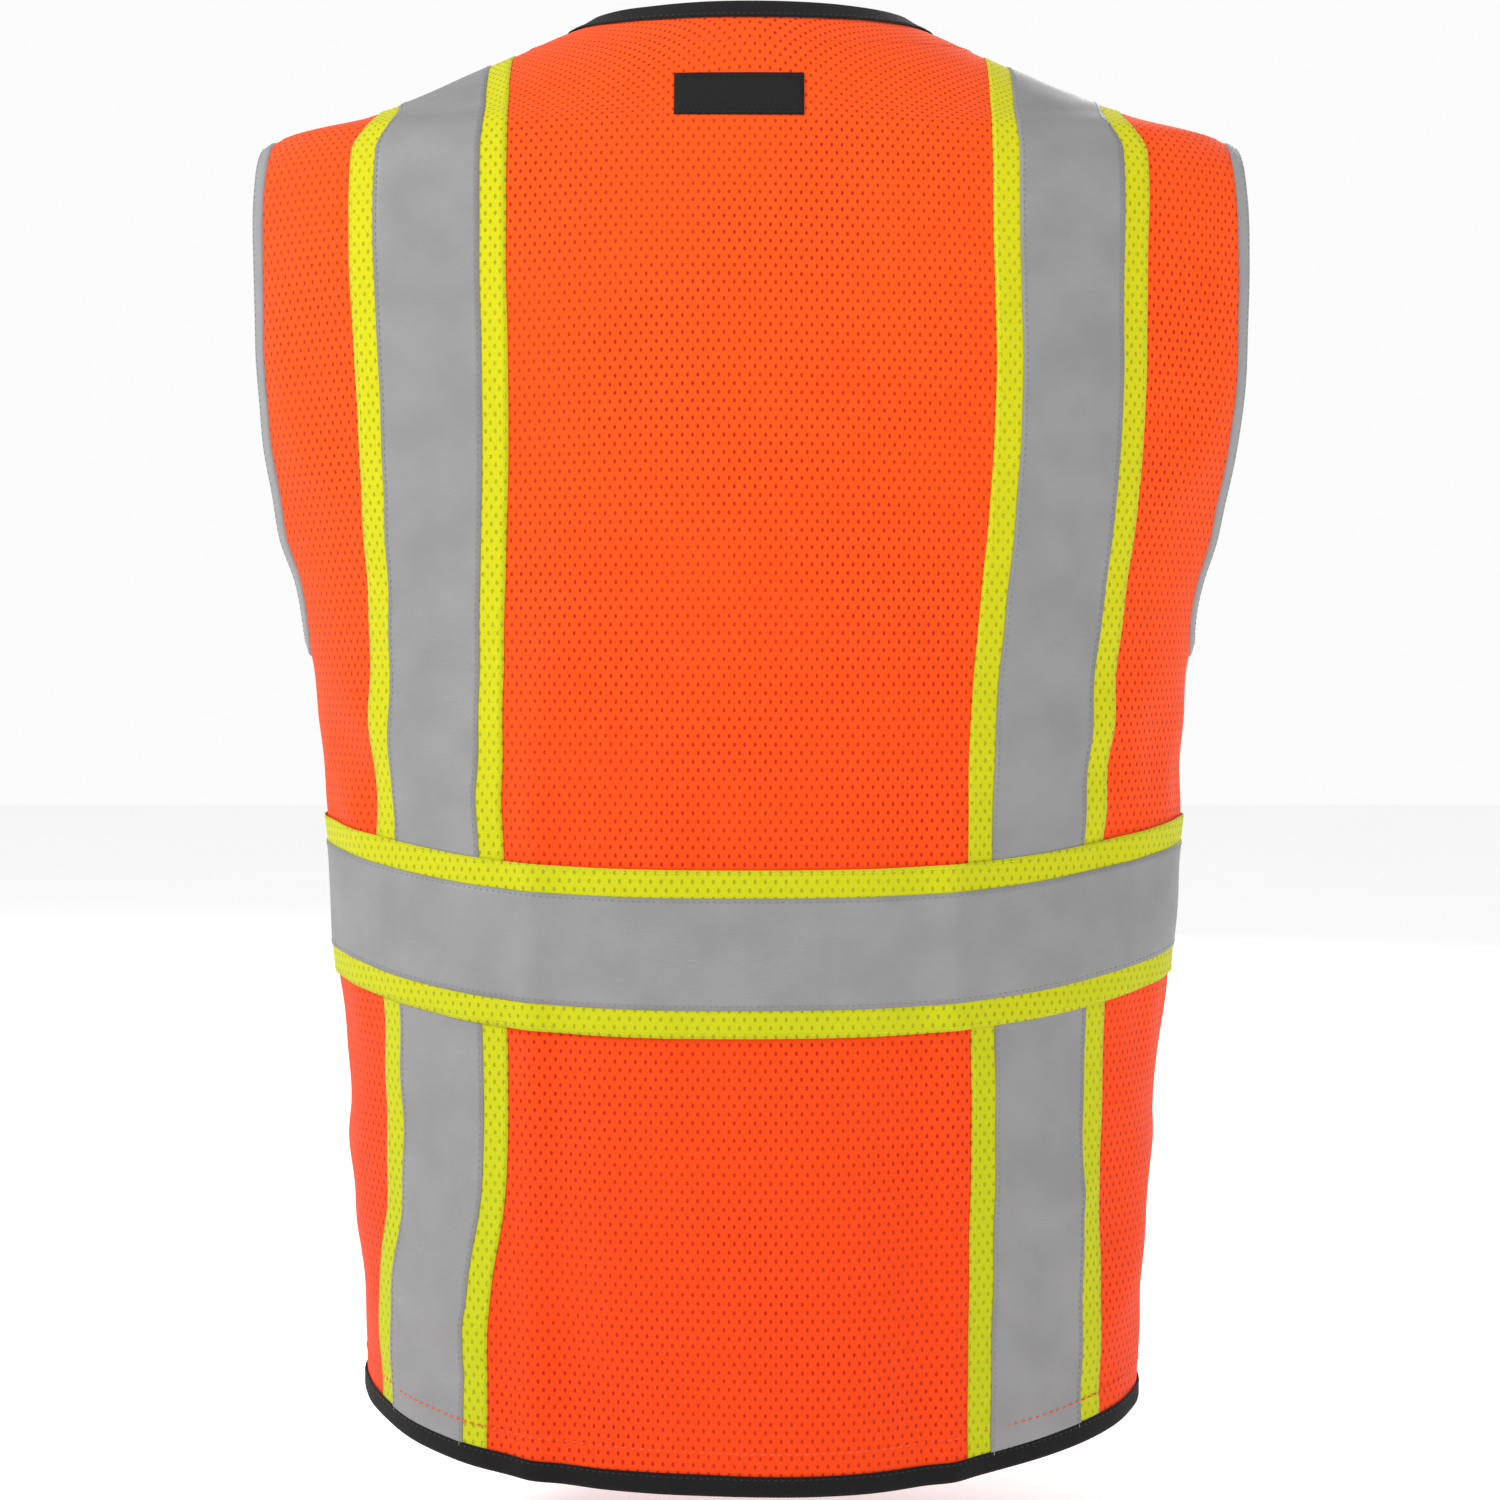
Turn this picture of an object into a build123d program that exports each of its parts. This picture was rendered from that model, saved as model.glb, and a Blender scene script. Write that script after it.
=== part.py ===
"""High visibility safety vest, zipped, in the shape it takes on a wearer.

Frame, in millimetres: the origin is the middle of the neck opening, level with the points where the neck
edge crosses the shoulders. +Z is up, the front faces -Y, and +X is the wearer's left.

Every cloth piece lies on one dress form, a stack of rounded sections. body() gives that form moved out
from the mesh cloth's outer face by an offset, and each piece is the part of the layer between two offsets
that its flat outline covers, seen from the front.
"""

from build123d import *
import os
from math import pi

import numpy as np
from scipy.interpolate import PchipInterpolator

# ---- Driving dimensions ----
VEST_LENGTH = 675.0  # neck point to the lowest point of the hem
ARMHOLE_DEPTH = 303.0  # neck point to the lowest point of the armhole
WAIST_BAND_LEVEL = 430.0  # neck point to the middle of the waist band, at the centre of the back
CHEST_HALF_WIDTH = 211.0  # at the bottom of the armholes
HEM_HALF_WIDTH = 188.0
SHOULDER_HALF_WIDTH = 228.0  # where the armhole crosses the shoulder
NECK_HALF_WIDTH = 88.0  # where the neck edge crosses the shoulder
SHOULDER_DROP = 49.0  # neck point to the end of the shoulder
COLLAR_RISE = 9.0  # neck point to the edge at the centre of the back
FRONT_DEPTH = 126.0  # the flat centre front, in front of the origin
BACK_DEPTH = 119.0  # the back at the bottom of the armholes, behind the origin
HEM_RISE = 22.0  # how much higher the hem is at the sides
BAND_RISE = 15.0  # how much higher the waist band is at the sides
SEAM_Y = 8.0  # depth of the side and shoulder seams

CLOTH = 1.6
CONTRAST_CLOTH = 0.6
REFLECTIVE_CLOTH = 0.4
BINDING_CLOTH = 0.8
FACING_CLOTH = 0.6
BINDING_LIP = 1.2  # how far a binding reaches past the edge it wraps
BODY_GAP = 0.4  # between pieces that move apart

STRIP_INNER_X = 110.0  # inner edge of the shoulder strips
CONTRAST_WIDTH = 76.2
REFLECTIVE_WIDTH = 50.8
BINDING_WIDTH = 9.0
ARM_BINDING_WIDTH = 7.0
FACING_WIDTH = 18.0

NECK_DROP = 185.0  # neck point to the bottom of the V neck
FRONT_EDGE_X = 8.0  # half the distance between the two front edges
FOLD_X = 98.0  # vertical line where an opened front edge folds back
FOLD_STAND_OFF = 1.2  # fold axis in front of the outermost layer

ZIP_TAPE_EDGE = 1.6
ZIP_TAPE_WIDTH = 14.5
ZIP_TAPE_THICKNESS = 0.6
TOOTH_PITCH = 3.8
TOOTH_HEIGHT = 1.7
TOOTH_INNER_X = 0.75
TOOTH_OUTER_X = 3.2
TOOTH_THICKNESS = 2.4
STOP_LENGTH = 3.5
SLIDER_LENGTH = 15.0
SLIDER_HALF_WIDTH = 5.0
SLIDER_PLATE = 1.2
SLIDER_CLEARANCE = 0.3
BRIDGE_WIDTH = 1.6
BRIDGE_LENGTH = 9.0
BRIDGE_HEIGHT = 3.2
PULL_BAR_RADIUS = 0.6
PULL_HALF_WIDTH = 3.2
PULL_LENGTH = 30.0
PULL_THICKNESS = 1.2
BOX_HEIGHT = 9.0
PIN_LENGTH = 24.0

POCKET_INNER_X = 18.0
POCKET_WIDTH = 72.0
POCKET_TOP = 215.0  # neck point to the mouth
PEN_POCKET_HEIGHT = 128.0
RADIO_POCKET_HEIGHT = 142.0
POCKET_ROOM = 7.0  # clear depth inside a chest pocket
POCKET_CLOTH = 1.2
PEN_DIVIDER_SPACING = 24.0
FLAP_RISE = 9.0  # the flap's seam above the pocket's mouth
FLAP_DROP = 38.0
INNER_POCKET_ROOM = 9.0
INNER_POCKET_TOP = 490.0
INNER_POCKET_BOTTOM = 612.0
INNER_POCKET_WIDTH = 66.0
LABEL_WIDTH = 60.0
LABEL_HEIGHT = 20.0
LABEL_TOP = 23.0
CARE_LABEL_WIDTH = 30.0
CARE_LABEL_HEIGHT = 42.0

FAR = 400.0  # further than any face of the vest

# ---- Dress form: level, half width, reach to the back, reach to the front, squareness of the section ----
BELOW_ARM = VEST_LENGTH - ARMHOLE_DEPTH
SECTIONS = np.array(
    [
        (-VEST_LENGTH - 25, HEM_HALF_WIDTH - 1, BACK_DEPTH + 19, FRONT_DEPTH, 2.1),
        (-ARMHOLE_DEPTH - 0.68 * BELOW_ARM, HEM_HALF_WIDTH + 6, BACK_DEPTH + 15, FRONT_DEPTH, 2.1),
        (-ARMHOLE_DEPTH - 0.34 * BELOW_ARM, CHEST_HALF_WIDTH - 8, BACK_DEPTH + 6, FRONT_DEPTH, 2.1),
        (-ARMHOLE_DEPTH, CHEST_HALF_WIDTH, BACK_DEPTH, FRONT_DEPTH, 2.1),
        (-0.78 * ARMHOLE_DEPTH, CHEST_HALF_WIDTH + 19, BACK_DEPTH, FRONT_DEPTH, 2.1),
        (-0.6 * ARMHOLE_DEPTH, SHOULDER_HALF_WIDTH + 20, BACK_DEPTH - 3, FRONT_DEPTH, 2.1),
        (-SHOULDER_DROP - 61, SHOULDER_HALF_WIDTH + 29, BACK_DEPTH - 13, FRONT_DEPTH - 17, 2.1),
        (-SHOULDER_DROP - 21, SHOULDER_HALF_WIDTH + 22, BACK_DEPTH - 22, FRONT_DEPTH - 38, 2.1),
        (-SHOULDER_DROP, SHOULDER_HALF_WIDTH, BACK_DEPTH - 28, FRONT_DEPTH - 52, 2.05),
        (-0.8 * SHOULDER_DROP, SHOULDER_HALF_WIDTH - 40, BACK_DEPTH - 32, FRONT_DEPTH - 60, 2.05),
        (-0.29 * SHOULDER_DROP, NECK_HALF_WIDTH + 36, BACK_DEPTH - 39, FRONT_DEPTH - 68, 2.05),
        (-2.0, NECK_HALF_WIDTH + 10, BACK_DEPTH - 44, FRONT_DEPTH - 74, 2.0),
        (COLLAR_RISE, NECK_HALF_WIDTH - 12, BACK_DEPTH - 51, FRONT_DEPTH - 79, 2.0),
        (COLLAR_RISE + 8, NECK_HALF_WIDTH - 17, BACK_DEPTH - 54, FRONT_DEPTH - 82, 2.0),
    ]
)
FORM = PchipInterpolator(SECTIONS[:, 0], SECTIONS[:, 1:], axis=0)
SPOKES = 40  # points around each ring
SIDE_RINGS = 20
SHOULDER_RINGS = (1.1, 1.0, 0.9, 0.8, 0.67, 0.55, 0.43, 0.3, 0.16, 0.04)  # shares of the shoulder's drop
COLLAR_RINGS = (3.0, COLLAR_RISE, COLLAR_RISE + 7)
LEVELS = np.r_[
    np.linspace(-VEST_LENGTH - 20, -SHOULDER_DROP - 11, SIDE_RINGS),
    [-SHOULDER_DROP * share for share in SHOULDER_RINGS],
    COLLAR_RINGS,
]
FINE = np.linspace(SECTIONS[0, 0] + 0.1, SECTIONS[-1, 0] - 0.1, 3000)
bodies = {}


def reach(z, turn):
    """Across and forward position on the form at one level. turn is 0 at the left and pi/2 at the back."""
    half_width, back, front, squareness = np.asarray(FORM(z)).T
    scale = (np.abs(np.cos(turn)) ** squareness + np.abs(np.sin(turn)) ** squareness) ** (-1 / squareness)
    return half_width * scale * np.cos(turn), (back - front) / 2 + (back + front) / 2 * scale * np.sin(turn)


def column(turn, offset):
    """The form's profile at one turn, moved outwards by offset and read at every level."""
    step = 1e-3
    line = np.c_[np.array(reach(FINE, turn)).T, FINE]
    across = np.array(reach(FINE, turn + step)).T - np.array(reach(FINE, turn - step)).T
    normal = np.cross(np.c_[across, np.zeros(len(FINE))], np.gradient(line, axis=0))
    moved = line + offset * normal / np.linalg.norm(normal, axis=1, keepdims=True)
    moved = moved[np.argsort(moved[:, 2], kind="stable")]
    return [(np.interp(z, moved[:, 2], moved[:, 0]), np.interp(z, moved[:, 2], moved[:, 1]), z) for z in LEVELS]


def body(offset):
    """The whole form, moved outwards by offset, as one solid lofted through its rings."""
    key = round(offset, 3)
    if key not in bodies:
        columns = [column(-pi / 2 + 2 * pi * i / SPOKES, offset) for i in range(SPOKES)]
        even = [i / SPOKES for i in range(SPOKES + 1)]
        rings = []
        for level in range(len(LEVELS)):
            points = [Vector(*map(float, line[level])) for line in columns]
            rings.append(Wire([Edge.make_spline(points, periodic=True, parameters=even)]))
        bodies[key] = Solid.make_loft(rings)
    return bodies[key]


# ---- Outlines, seen from the front: across and up ----
def hem_level(x):
    return -VEST_LENGTH + HEM_RISE * (abs(x) / HEM_HALF_WIDTH) ** 3


def band_level(x):
    return -WAIST_BAND_LEVEL + BAND_RISE * (abs(x) / HEM_HALF_WIDTH) ** 3


def collar_level(x):
    """Lower edge of the neck binding across the back, and of the form's top where it slopes."""
    return COLLAR_RISE - BINDING_WIDTH + 5.2 * (abs(x) / (NECK_HALF_WIDTH - 4)) ** 2


def below(level, rise=0.0):
    """Everything under a level curve raised by rise."""
    with BuildSketch() as outline:
        with BuildLine():
            edge = Spline(*[(x, level(x) + rise) for x in np.linspace(-270, 270, 31)])
            Polyline(edge @ 0, (-270, -2 * FAR), (270, -2 * FAR), edge @ 1)
        make_face()
    return outline.sketch


def box_outline(left, right, bottom, top):
    with BuildSketch() as outline:
        with Locations(((left + right) / 2, (bottom + top) / 2)):
            Rectangle(right - left, top - bottom)
    return outline.sketch


def curve(points, aside=0.0, count=30):
    """A smooth line through points, moved to the right of its direction of travel by aside."""
    points = np.array(points, float)
    along = np.r_[0, np.cumsum(np.hypot(*np.diff(points, axis=0).T))]
    line = PchipInterpolator(along, points)
    at = np.linspace(0, along[-1], count)
    travel = line(at, 1)
    right = np.c_[travel[:, 1], -travel[:, 0]] / np.linalg.norm(travel, axis=1, keepdims=True)
    return Spline(*[tuple(map(float, p)) for p in line(at) + aside * right])


def armhole_outline(grow=0.0):
    """The left armhole, as a cut through the side, made larger by grow."""
    shoulder, chest, depth = SHOULDER_HALF_WIDTH, CHEST_HALF_WIDTH, ARMHOLE_DEPTH
    edge = [
        (shoulder, 30),
        (shoulder, -0.12 * depth),
        (shoulder + 3, -0.33 * depth),
        (shoulder + 1.5, -0.56 * depth),
        (chest + 10, -0.776 * depth),
        (chest + 3.5, -0.86 * depth),
        (chest - 0.5, -0.947 * depth),
        (chest + 3, -0.99 * depth),
        (chest + 14, -depth),
        (chest + 34, -depth),
        (chest + 60, -depth),
    ]
    with BuildSketch() as outline:
        with BuildLine():
            side = curve(edge, grow, 36)
            Polyline(side @ 1, (chest + 90, -depth), (chest + 90, 30), side @ 0)
        make_face()
    return outline.sketch


def neck_outline(grow=0.0):
    """The V of the neck in the front, made larger by grow."""
    width = NECK_HALF_WIDTH - 13 - FRONT_EDGE_X
    edge = [(NECK_HALF_WIDTH - 11, 40), (NECK_HALF_WIDTH - 13, COLLAR_RISE)]
    for across, up in ((0.86, 0.15), (0.57, 0.42), (0.2, 0.8), (0, 1), (-0.05, 1.06)):
        edge.append((FRONT_EDGE_X + across * width, -up * NECK_DROP))
    with BuildSketch() as outline:
        with BuildLine():
            side = curve(edge, -grow)
            Polyline(side @ 1, (0, -1.06 * NECK_DROP), (0, 40), side @ 0)
        make_face()
        mirror(about=Plane.YZ)
    return outline.sketch & box_outline(-200, 200, -NECK_DROP, 40)


def level_run(z, start, width):
    """Where a strip laid level on the form from x = start ends."""
    turns = np.linspace(0.5 * pi, 0, 400)
    x, y = reach(min(z, -SHOULDER_DROP - 25), turns)
    along = np.r_[0, np.cumsum(np.hypot(np.diff(x), np.diff(y)))]
    return float(np.interp(np.interp(start, x, along) + width, along, x))


def strip_outline(inset, width):
    """A shoulder strip on the left side, from above the shoulder to below the hem."""
    levels = np.linspace(-VEST_LENGTH - 15, 30, 16)
    with BuildSketch() as outline:
        with BuildLine():
            inner = Spline(*[(level_run(z, STRIP_INNER_X, inset), z) for z in levels])
            outer = Spline(*[(level_run(z, STRIP_INNER_X, inset + width), z) for z in levels])
            Line(inner @ 0, outer @ 0)
            Line(inner @ 1, outer @ 1)
        make_face()
    return outline.sketch


# ---- Solids cut from the layers ----
def prism(outline, start=-FAR, end=FAR):
    """An outline carried from one depth to another."""
    with BuildPart() as solid:
        with BuildSketch(Plane.XZ.offset(-start)):
            add(outline)
        extrude(amount=start - end)
    return solid.part


def cloth(low, high, outline, start=-FAR, end=FAR):
    """Part of a layer that an outline covers, between two depths."""
    with BuildPart() as piece:
        add(prism(outline, start, end))
        add(body(high), mode=Mode.INTERSECT)
        add(body(low), mode=Mode.SUBTRACT)
    return piece.part


def without(piece, *cuts):
    with BuildPart() as rest:
        add(piece)
        for cut in cuts:
            add(cut, mode=Mode.SUBTRACT)
    return rest.part


def on_right(piece):
    with BuildPart() as twin:
        mirror(piece, about=Plane.YZ)
    return twin.part


def save(piece, name):
    piece.label = name
    export_step(piece, f"parts/{name}.step")


def save_pair(piece, name):
    save(piece, name + "_left")
    save(on_right(piece), name + "_right")


os.makedirs("parts", exist_ok=True)

INSIDE = -CLOTH
CONTRAST_TOP = CONTRAST_CLOTH
TAPE_TOP = CONTRAST_TOP + REFLECTIVE_CLOTH
BAND_TOP = TAPE_TOP + CONTRAST_CLOTH
BAND_TAPE_TOP = BAND_TOP + REFLECTIVE_CLOTH
FLAP_EDGE = FOLD_X - BODY_GAP / 2
FIXED_EDGE = FOLD_X + BODY_GAP / 2
FLAP_HEAD = -NECK_DROP - BODY_GAP / 2
FIXED_FOOT = -NECK_DROP + BODY_GAP / 2

armhole = armhole_outline()
neck = neck_outline()
under_hem = below(hem_level)
whole = box_outline(-300, 300, -VEST_LENGTH - 15, COLLAR_RISE)
flap_area = box_outline(FRONT_EDGE_X, FLAP_EDGE, -VEST_LENGTH - 15, FLAP_HEAD)
flap_space = box_outline(-FIXED_EDGE, FIXED_EDGE, -VEST_LENGTH - 15, FIXED_FOOT)

# ---- Mesh cloth ----
back_outline = whole - under_hem - armhole - mirror(armhole, about=Plane.YZ)
save(cloth(INSIDE, 0, back_outline, start=SEAM_Y), "back_panel")
front_outline = box_outline(0, 300, -VEST_LENGTH - 15, COLLAR_RISE) - under_hem - armhole - neck - flap_space
save_pair(cloth(INSIDE, 0, front_outline, end=SEAM_Y), "front_panel")
flap_outline = flap_area - under_hem
front_edge = cloth(INSIDE, 0, flap_outline, end=0)
save_pair(front_edge, "front_edge")

# ---- Shoulder strips ----
over_binding = below(hem_level, BINDING_WIDTH)
contrast = strip_outline(0, CONTRAST_WIDTH) - over_binding
reflective = strip_outline((CONTRAST_WIDTH - REFLECTIVE_WIDTH) / 2, REFLECTIVE_WIDTH) - over_binding
for part_name, start, end in (("back", SEAM_Y, FAR), ("front", -FAR, SEAM_Y)):
    save_pair(cloth(0, CONTRAST_TOP, contrast, start, end), part_name + "_contrast_strip")
    save_pair(cloth(CONTRAST_TOP, TAPE_TOP, reflective, start, end), part_name + "_reflective_tape")

# ---- Waist band, in three lengths that part at the fold lines ----
band = below(band_level, CONTRAST_WIDTH / 2) - below(band_level, -CONTRAST_WIDTH / 2)
band_tape = below(band_level, REFLECTIVE_WIDTH / 2) - below(band_level, -REFLECTIVE_WIDTH / 2)
front_gap = prism(box_outline(-FIXED_EDGE, FIXED_EDGE, -VEST_LENGTH - 15, FIXED_FOOT), -FAR, 0)
under_band = [cloth(-0.3, TAPE_TOP + 0.02, strip_outline(0, CONTRAST_WIDTH) & band)]
under_band.append(on_right(under_band[0]))
save(without(cloth(0, BAND_TOP, band), front_gap, *under_band), "waist_contrast_band_body")
save_pair(cloth(0, BAND_TOP, band & flap_area, end=0), "waist_contrast_band_edge")
save(without(cloth(BAND_TOP, BAND_TAPE_TOP, band_tape), front_gap), "waist_reflective_band_body")
save_pair(cloth(BAND_TOP, BAND_TAPE_TOP, band_tape & flap_area, end=0), "waist_reflective_band_edge")

# ---- Bindings, folded over the edges ----
LIP = BINDING_CLOTH + CLOTH


def binding(region, wrapped, start=-FAR, end=FAR):
    """Tape folded over an edge. region reaches past the edge, wrapped is the cloth's share of it."""
    fold = cloth(-LIP, BINDING_CLOTH, region, start, end)
    return without(fold, cloth(INSIDE - 0.02, 0.02, wrapped, start - 5, end + 5))


hem_band = below(hem_level, BINDING_WIDTH) - below(hem_level, -BINDING_LIP)
hem_wrapped = below(hem_level, BINDING_WIDTH + 5) - under_hem
save(without(binding(hem_band, hem_wrapped), front_gap), "hem_binding_body")
save_pair(binding(hem_band & flap_area, hem_wrapped, end=0), "hem_binding_edge")

arm_band = armhole_outline(ARM_BINDING_WIDTH) - armhole_outline(-BINDING_LIP)
save_pair(binding(arm_band, armhole_outline(ARM_BINDING_WIDTH + 5) - armhole), "armhole_binding")

collar_band = box_outline(-250, 250, -40, COLLAR_RISE + BINDING_LIP) - below(collar_level)
collar_wrapped = box_outline(-250, 250, -60, COLLAR_RISE)
neck_band = neck_outline(BINDING_WIDTH) - neck_outline(-BINDING_LIP)
neck_band &= box_outline(-250, 250, FIXED_FOOT, COLLAR_RISE + BINDING_LIP)
neck_band += box_outline(-250, 250, -40, COLLAR_RISE + BINDING_LIP) - below(collar_level) - neck_outline(-BINDING_LIP)
neck_wrapped = box_outline(-250, 250, FIXED_FOOT - 5, COLLAR_RISE) - neck
with BuildPart() as neck_binding:
    add(binding(collar_band, collar_wrapped, start=SEAM_Y))
    add(binding(neck_band, neck_wrapped, end=SEAM_Y))
save(neck_binding.part, "neck_binding")

# ---- Facings, inside ----
LINED = INSIDE - FACING_CLOTH
facing_outline = below(collar_level, -0.3) - below(collar_level, -0.3 - FACING_WIDTH)
facing_outline &= box_outline(-70, 70, -60, 20)
save(cloth(LINED, INSIDE, facing_outline, start=SEAM_Y), "neck_facing")
hem_lining = below(hem_level, BINDING_WIDTH + FACING_WIDTH) - below(hem_level, BINDING_WIDTH + 0.3)
save(without(cloth(LINED, INSIDE, hem_lining), front_gap), "hem_facing_body")
save_pair(cloth(LINED, INSIDE, hem_lining & flap_area, end=0), "hem_facing_edge")

# ---- Labels ----
label = box_outline(-LABEL_WIDTH / 2, LABEL_WIDTH / 2, -LABEL_TOP - LABEL_HEIGHT, -LABEL_TOP)
save(cloth(0, 0.6, label, start=SEAM_Y), "neck_label")
care = box_outline(-CARE_LABEL_WIDTH / 2, CARE_LABEL_WIDTH / 2, -6 - CARE_LABEL_HEIGHT, -6)
save(cloth(LINED - 0.5, LINED, care, start=SEAM_Y), "care_label")


# ---- Pockets and tabs: bags standing off the cloth ----
def bag(low, high, area, room, wall, end=0.0):
    """A bag in front of the form between two offsets, hollow where room covers it."""
    solid = cloth(low, high, area, end=end)
    return without(solid, cloth(low - 1, high - wall, room, end=end + 5))


def bag_outlines(left, right, bottom, top):
    """A bag and its room, open at the top."""
    wall = POCKET_CLOTH
    return box_outline(left, right, bottom, top), box_outline(left + wall, right - wall, bottom + wall, top + 9)


POCKET_OUTER_X = POCKET_INNER_X + POCKET_WIDTH
POCKET_OUT = POCKET_ROOM + POCKET_CLOTH

pen_base = -POCKET_TOP - PEN_POCKET_HEIGHT
area, room = bag_outlines(POCKET_INNER_X, POCKET_OUTER_X, pen_base, -POCKET_TOP)
save(bag(0, POCKET_OUT, area, room, POCKET_CLOTH), "chest_pocket")
pen_top = -POCKET_TOP - 0.34 * PEN_POCKET_HEIGHT
area, room = bag_outlines(POCKET_INNER_X, POCKET_OUTER_X, pen_base, pen_top)
for i in (1, 2):
    middle = POCKET_INNER_X + i * PEN_DIVIDER_SPACING
    room -= box_outline(middle - 1, middle + 1, pen_base - 9, pen_top + 15)
pens = cloth(POCKET_OUT, 2 * POCKET_OUT, area, end=0)
save(without(pens, cloth(POCKET_OUT - 1, POCKET_OUT + POCKET_ROOM, room, end=5)), "pen_pocket")

radio_base = -POCKET_TOP - RADIO_POCKET_HEIGHT
area, room = bag_outlines(-POCKET_OUTER_X, -POCKET_INNER_X, radio_base, -POCKET_TOP)
save(bag(0, POCKET_OUT, area, room, POCKET_CLOTH), "radio_pocket")
PATCH = box_outline(-POCKET_OUTER_X + 16, -POCKET_INNER_X - 16, -POCKET_TOP - 28, -POCKET_TOP - 12)
save(cloth(POCKET_OUT, POCKET_OUT + 0.8, PATCH, end=0), "radio_pocket_loop_patch")

# The flap hangs from a straight seam above the pocket and closes over it.
FLAP_IN = POCKET_OUT + 0.8 + 0.8 + BODY_GAP
flap_top = -POCKET_TOP + FLAP_RISE
flap_area_out = box_outline(-POCKET_OUTER_X - 1, -POCKET_INNER_X + 1, flap_top - FLAP_DROP - FLAP_RISE, flap_top)
flap_room = box_outline(-POCKET_OUTER_X - 3, -POCKET_INNER_X + 3, flap_top - FLAP_DROP - 30, flap_top - POCKET_CLOTH)
flap = cloth(BODY_GAP, FLAP_IN + POCKET_CLOTH, flap_area_out, end=0)
save(without(flap, cloth(-2, FLAP_IN, flap_room, end=5)), "radio_pocket_flap")
save(cloth(FLAP_IN - 0.8, FLAP_IN, PATCH, end=0), "radio_flap_hook_patch")

inner = box_outline(FOLD_X + 8, FOLD_X + 8 + INNER_POCKET_WIDTH, -INNER_POCKET_BOTTOM, -INNER_POCKET_TOP)
inner_room = box_outline(
    FOLD_X + 8 + POCKET_CLOTH,
    FOLD_X + 8 + INNER_POCKET_WIDTH - POCKET_CLOTH,
    -INNER_POCKET_BOTTOM + POCKET_CLOTH,
    -INNER_POCKET_TOP + 9,
)
lining = cloth(INSIDE - INNER_POCKET_ROOM - POCKET_CLOTH, INSIDE, inner, end=0)
save_pair(without(lining, cloth(INSIDE - INNER_POCKET_ROOM, 0, inner_room, end=5)), "inner_pocket")

# ---- Zip ----
FRONT = -FRONT_DEPTH
ZIP_Y = FRONT + CLOTH + 0.1 + ZIP_TAPE_THICKNESS  # back of the tape
ZIP_MIDDLE = ZIP_Y - ZIP_TAPE_THICKNESS / 2
ZIP_TOP = FLAP_HEAD - 2
ZIP_BOTTOM = -VEST_LENGTH + 3
TEETH_TOP = ZIP_TOP - STOP_LENGTH - 0.5
BOX_TOP = ZIP_BOTTOM + BOX_HEIGHT


def block(x0, x1, y0, y1, z0, z1):
    """A solid between two corners, added to the part being built."""
    with Locations(((x0 + x1) / 2, (y0 + y1) / 2, (z0 + z1) / 2)):
        return Box(abs(x1 - x0), abs(y1 - y0), abs(z1 - z0))


FOOT_TOP = -VEST_LENGTH + BINDING_WIDTH + FACING_WIDTH + 1.5  # the tape is narrow where the hem's layers lie beside it
with BuildPart() as zip_tape:
    x0, x1 = ZIP_TAPE_EDGE, ZIP_TAPE_EDGE + ZIP_TAPE_WIDTH
    block(x0, x1, ZIP_Y, ZIP_Y - ZIP_TAPE_THICKNESS, FOOT_TOP, ZIP_TOP)
    block(x0, FRONT_EDGE_X - 0.4, ZIP_Y, ZIP_Y - ZIP_TAPE_THICKNESS, ZIP_BOTTOM, FOOT_TOP)
with BuildPart() as zip_teeth:
    count = int((TEETH_TOP - BOX_TOP - 1) / TOOTH_PITCH)
    for i in range(count):
        low = BOX_TOP + 1 + i * TOOTH_PITCH
        front, back = ZIP_MIDDLE - TOOTH_THICKNESS / 2, ZIP_MIDDLE + TOOTH_THICKNESS / 2
        block(TOOTH_INNER_X, TOOTH_OUTER_X, front, back, low, low + TOOTH_HEIGHT)
with BuildPart() as top_stop:
    front, back = ZIP_MIDDLE - TOOTH_THICKNESS / 2, ZIP_MIDDLE + TOOTH_THICKNESS / 2
    block(TOOTH_INNER_X, TOOTH_OUTER_X + 0.6, front, back, ZIP_TOP - STOP_LENGTH, ZIP_TOP)
tape = zip_tape.part
save_pair(without(tape, front_edge), "zip_tape")
save_pair(without(zip_teeth.part, tape), "zip_teeth")
save_pair(without(top_stop.part, tape), "zip_top_stop")

with BuildPart() as retainer_box:
    block(-4.6, -0.4, ZIP_MIDDLE - 1.9, ZIP_MIDDLE + 1.9, ZIP_BOTTOM, BOX_TOP)
save(without(retainer_box.part, on_right(tape)), "zip_retainer_box")
with BuildPart() as insertion_pin:
    block(0.4, 2.2, ZIP_MIDDLE - 1.2, ZIP_MIDDLE + 1.2, ZIP_BOTTOM, BOX_TOP + 0.5)
save(without(insertion_pin.part, tape), "zip_insertion_pin")

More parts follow.
